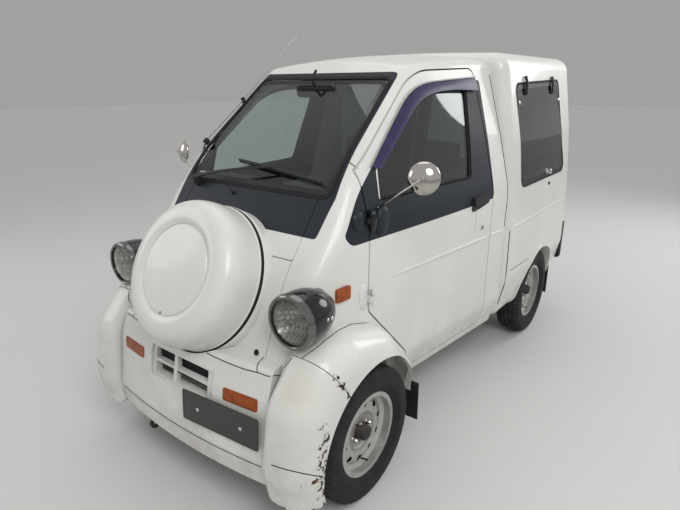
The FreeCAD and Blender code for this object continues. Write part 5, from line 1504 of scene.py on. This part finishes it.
class KEI_OT_rear(bpy.types.Operator):
    """Tailgate handle and lock, blank plate, window rubber and lamp sections"""

    bl_idname = "kei_car.rear"
    bl_label = "Rear details"

    def execute(self, context):
        gate = "tailgate"
        face = flat_place((0.0, GATE_FACE_Y, 0.0), -X_AXIS, Z_AXIS)
        hole = rounded([(-u, v, r) for u, v, r in reversed(GATE_WINDOW)], 8)
        seal = ring_plate(grown(hole, 0.012), grown(hole, -0.010), face, -0.004, 0.004)
        put("gate_rubber", seal, "rubber", gate, edge=0.0012)
        base = plate(oblong(-0.11, 0.905, 0.11, 0.955, 0.012), face, 0.0, 0.012)
        put("gate_grip", base, "black_trim", gate, edge=0.003)
        grip = plate(oblong(-0.085, 0.918, 0.085, 0.948, 0.010), face, 0.011, 0.020)
        put("gate_paddle", grip, "black_trim", gate, edge=0.003)
        blank_plate("rear_plate", oblong(-0.165, 0.700, 0.165, 0.865, 0.010), face, gate, (0.004, 0.0058),
                    (-0.004, -0.007, 0.0056, 0.0068), ((0.0, 0.0075), (0.009, 0.007), (0.0105, 0.004)), 0.838)
        lock = lathe(capped((0.0, 0.012), (0.004, 0.012), (0.005, 0.008)), *face(0.0, 0.984), 24)
        put("gate_lock", lock, "dull_chrome", gate)
        # lamp sections over the red lens: amber above, clear below
        back_face = flat_place((0.0, GATE_FACE_Y, 0.0), X_AXIS, -Z_AXIS)
        for label, z0, z1, coat, slot in (("rear_amber", 0.826, 0.896, "amber", "amber"),
                                          ("rear_clear", 0.694, 0.742, "clear_lens", "lamp_glass")):
            section = rounded([
                (0.594, z0, 0.010), (0.628, z0, 0.010), (0.6275, z1, 0.010), (0.594, z1, 0.010)], 4)
            flipped = [Vector((p.x, -p.y)) for p in section]
            both(label, plate(flipped, back_face, 0.0132, 0.0165), coat, edge=0.002)
        return {"FINISHED"}


def cushion_mesh(x0, x1, section, crown):
    """A padded block along the car's width: a rounded side section, its faces crowned."""
    outline = rounded(section, 6)
    middle = sum(outline, Vector((0.0, 0.0))) / len(outline)
    rows = []
    for t in between(0.0, 1.0, 17):
        x = x0 + (x1 - x0) * t
        swell = 1.0 - abs(2 * t - 1) ** 6 * 0.10 + math.sin(t * math.pi) * crown
        rows.append([Vector((x, middle.x + (p.x - middle.x) * swell, middle.y + (p.y - middle.y) * swell))
                     for p in outline])
    return close_ends(grid_mesh(rows, wrap_columns=True))


def puff(piece):
    """Swells a pad with the Cloth simulation and caps how far it moves."""
    remesh = piece.modifiers.new("remesh", "REMESH")
    remesh.mode = "VOXEL"
    remesh.voxel_size = 0.007
    bake_modifiers(piece)
    rest = [v.co.copy() for v in piece.data.vertices]
    cloth = piece.modifiers.new("cloth", "CLOTH")
    cloth.settings.use_pressure = True
    cloth.settings.uniform_pressure_force = 4.0
    cloth.settings.effector_weights.gravity = 0.0
    scene = bpy.context.scene
    for step in range(1, PUFF_FRAMES + 1):
        scene.frame_set(step)
    bake_modifiers(piece)
    scene.frame_set(1)
    for vertex, start in zip(piece.data.vertices, rest):
        move = vertex.co - start
        if move.length > PUFF_REACH:
            vertex.co = start + move.normalized() * PUFF_REACH


def bake_modifiers(piece):
    """Turns a piece's modifiers into its own mesh."""
    mesh = evaluated(piece)
    old = piece.data
    piece.modifiers.clear()
    piece.data = mesh
    bpy.data.meshes.remove(old)


class KEI_OT_seats(bpy.types.Operator):
    """Two padded seats with their frames and head rests"""

    bl_idname = "kei_car.seats"
    bl_label = "Seats"

    def execute(self, context):
        for label, x0, x1, section, crown in SEAT_PADS:
            left = link_mesh(label + "_left", cushion_mesh(x0, x1, section, crown), "seat", 60.0)
            puff(left)
            right = link_mesh(label + "_right", mirror_mesh(left.data), "seat", 60.0)
            for piece in (left, right):
                for polygon in piece.data.polygons:
                    polygon.use_smooth = True
                smooth = piece.modifiers.new("smooth", "SUBSURF")
                smooth.levels = 1
                smooth.render_levels = 1
                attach(piece, "body")
                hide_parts("seats")
        frames = [block((0.080, -0.150, 0.318), (0.420, 0.246, 0.430), 0.010)]
        frames += [tube([(x, 0.255, 1.060), (x, 0.252, 1.130)], 0.006, 12) for x in (0.200, 0.300)]
        both("seat_frame", joined(frames), "black_trim", edge=0.006)
        return {"FINISHED"}


class KEI_OT_cabin(bpy.types.Operator):
    """Instruments, gear and brake levers and the inner mirror"""

    bl_idname = "kei_car.cabin"
    bl_label = "Cabin"

    def execute(self, context):
        # instrument hood in front of the driver
        hood = rounded([
            (-0.130, 0.0, 0.030), (-0.105, 0.078, 0.034), (0.105, 0.078, 0.034), (0.130, 0.0, 0.030)], 6)
        face = flat_place((-0.250, -0.690, 1.078), -X_AXIS, (0.0, -0.15, 1.0))
        put("instrument_hood", plate(hood, face, -0.110, 0.0), "grey_trim", edge=0.010)
        dial = lathe(capped((0.0, 0.036), (0.004, 0.036), (0.006, 0.033), (0.003, 0.031)),
                     (-0.250, -0.688, 1.115), (0.0, 1.0, 0.12), 40)
        put("speed_dial", dial, "black_trim")
        stick = smooth_line([(0.0, -0.470, 0.330), (0.0, -0.480, 0.480), (0.0, -0.450, 0.560)], 14)
        ball = [(-0.020, 0.0), (-0.020, 0.010), (-0.004, 0.020), (0.016, 0.022), (0.028, 0.012), (0.030, 0.0)]
        knob = lathe(ball, (0.0, -0.446, 0.572), (0.0, 0.25, 1.0), 24)
        boot = lathe(capped((0.0, 0.060), (0.010, 0.060), (0.040, 0.030), (0.080, 0.012)),
                     (0.0, -0.468, 0.316), Z_AXIS, 28)
        put("gear_lever", joined([tube(stick, 0.007, 10), knob, boot]), "rubber", angle=40.0)
        brake = smooth_line([(0.0, 0.020, 0.330), (0.0, -0.080, 0.400), (0.0, -0.200, 0.440)], 14)
        put("hand_brake", tube(brake, 0.012, 12), "black_trim")
        outline = rounded([(-0.110, -0.028, 0.020), (0.110, -0.028, 0.020), (0.110, 0.028, 0.024),
                           (-0.110, 0.028, 0.024)], 5)
        face = flat_place((0.0, -0.460, 1.520), -X_AXIS, (0.0, -0.20, 1.0))
        stalk = tube([(0.0, -0.480, 1.530), (0.0, -0.500, 1.570), (0.0, -0.470, 1.605)], 0.006, 10)
        put("inner_mirror", joined([plate(outline, face, -0.020, 0.0), stalk]), "black_trim", edge=0.003)
        put("inner_mirror_glass", plate(grown(outline, -0.005), face, 0.0, 0.0015), "mirror")
        return {"FINISHED"}


class KEI_PT_panel(bpy.types.Panel):
    bl_label = "Kei Car"
    bl_idname = "KEI_PT_panel"
    bl_space_type = "VIEW_3D"
    bl_region_type = "UI"
    bl_category = "Kei Car"

    def draw(self, context):
        for group in (context.scene.kei_paint, context.scene.kei_trim, context.scene.kei_stage):
            for key in group.bl_rna.properties.keys():
                if key not in {"name", "rna_type"}:
                    self.layout.prop(group, key)
        for step in OPERATORS:
            self.layout.operator(step.bl_idname)


OPERATORS = (
    KEI_OT_stage, KEI_OT_finishes, KEI_OT_door_trim, KEI_OT_box_windows, KEI_OT_screen_trim, KEI_OT_lamps,
    KEI_OT_mirrors, KEI_OT_wheels, KEI_OT_nose, KEI_OT_seams, KEI_OT_rear, KEI_OT_seats, KEI_OT_cabin,
)
GROUPS = {"kei_paint": KeiPaint, "kei_trim": KeiTrim, "kei_stage": KeiStage}


def register():
    for name, group in GROUPS.items():
        bpy.utils.register_class(group)
        setattr(bpy.types.Scene, name, bpy.props.PointerProperty(type=group))
    for step in OPERATORS:
        bpy.utils.register_class(step)
    bpy.utils.register_class(KEI_PT_panel)


def unregister():
    bpy.utils.unregister_class(KEI_PT_panel)
    for step in reversed(OPERATORS):
        bpy.utils.unregister_class(step)
    for name, group in GROUPS.items():
        delattr(bpy.types.Scene, name)
        bpy.utils.unregister_class(group)


def main():
    register()
    bpy.ops.kei_car.stage()
    bpy.ops.kei_car.finishes()
    bpy.ops.kei_car.door_trim()
    bpy.ops.kei_car.box_windows()
    bpy.ops.kei_car.screen_trim()
    bpy.ops.kei_car.lamps()
    bpy.ops.kei_car.mirrors()
    bpy.ops.kei_car.wheels()
    bpy.ops.kei_car.nose()
    bpy.ops.kei_car.seams()
    bpy.ops.kei_car.rear()
    bpy.ops.kei_car.seats()
    bpy.ops.kei_car.cabin()


if __name__ == "__main__":
    main()
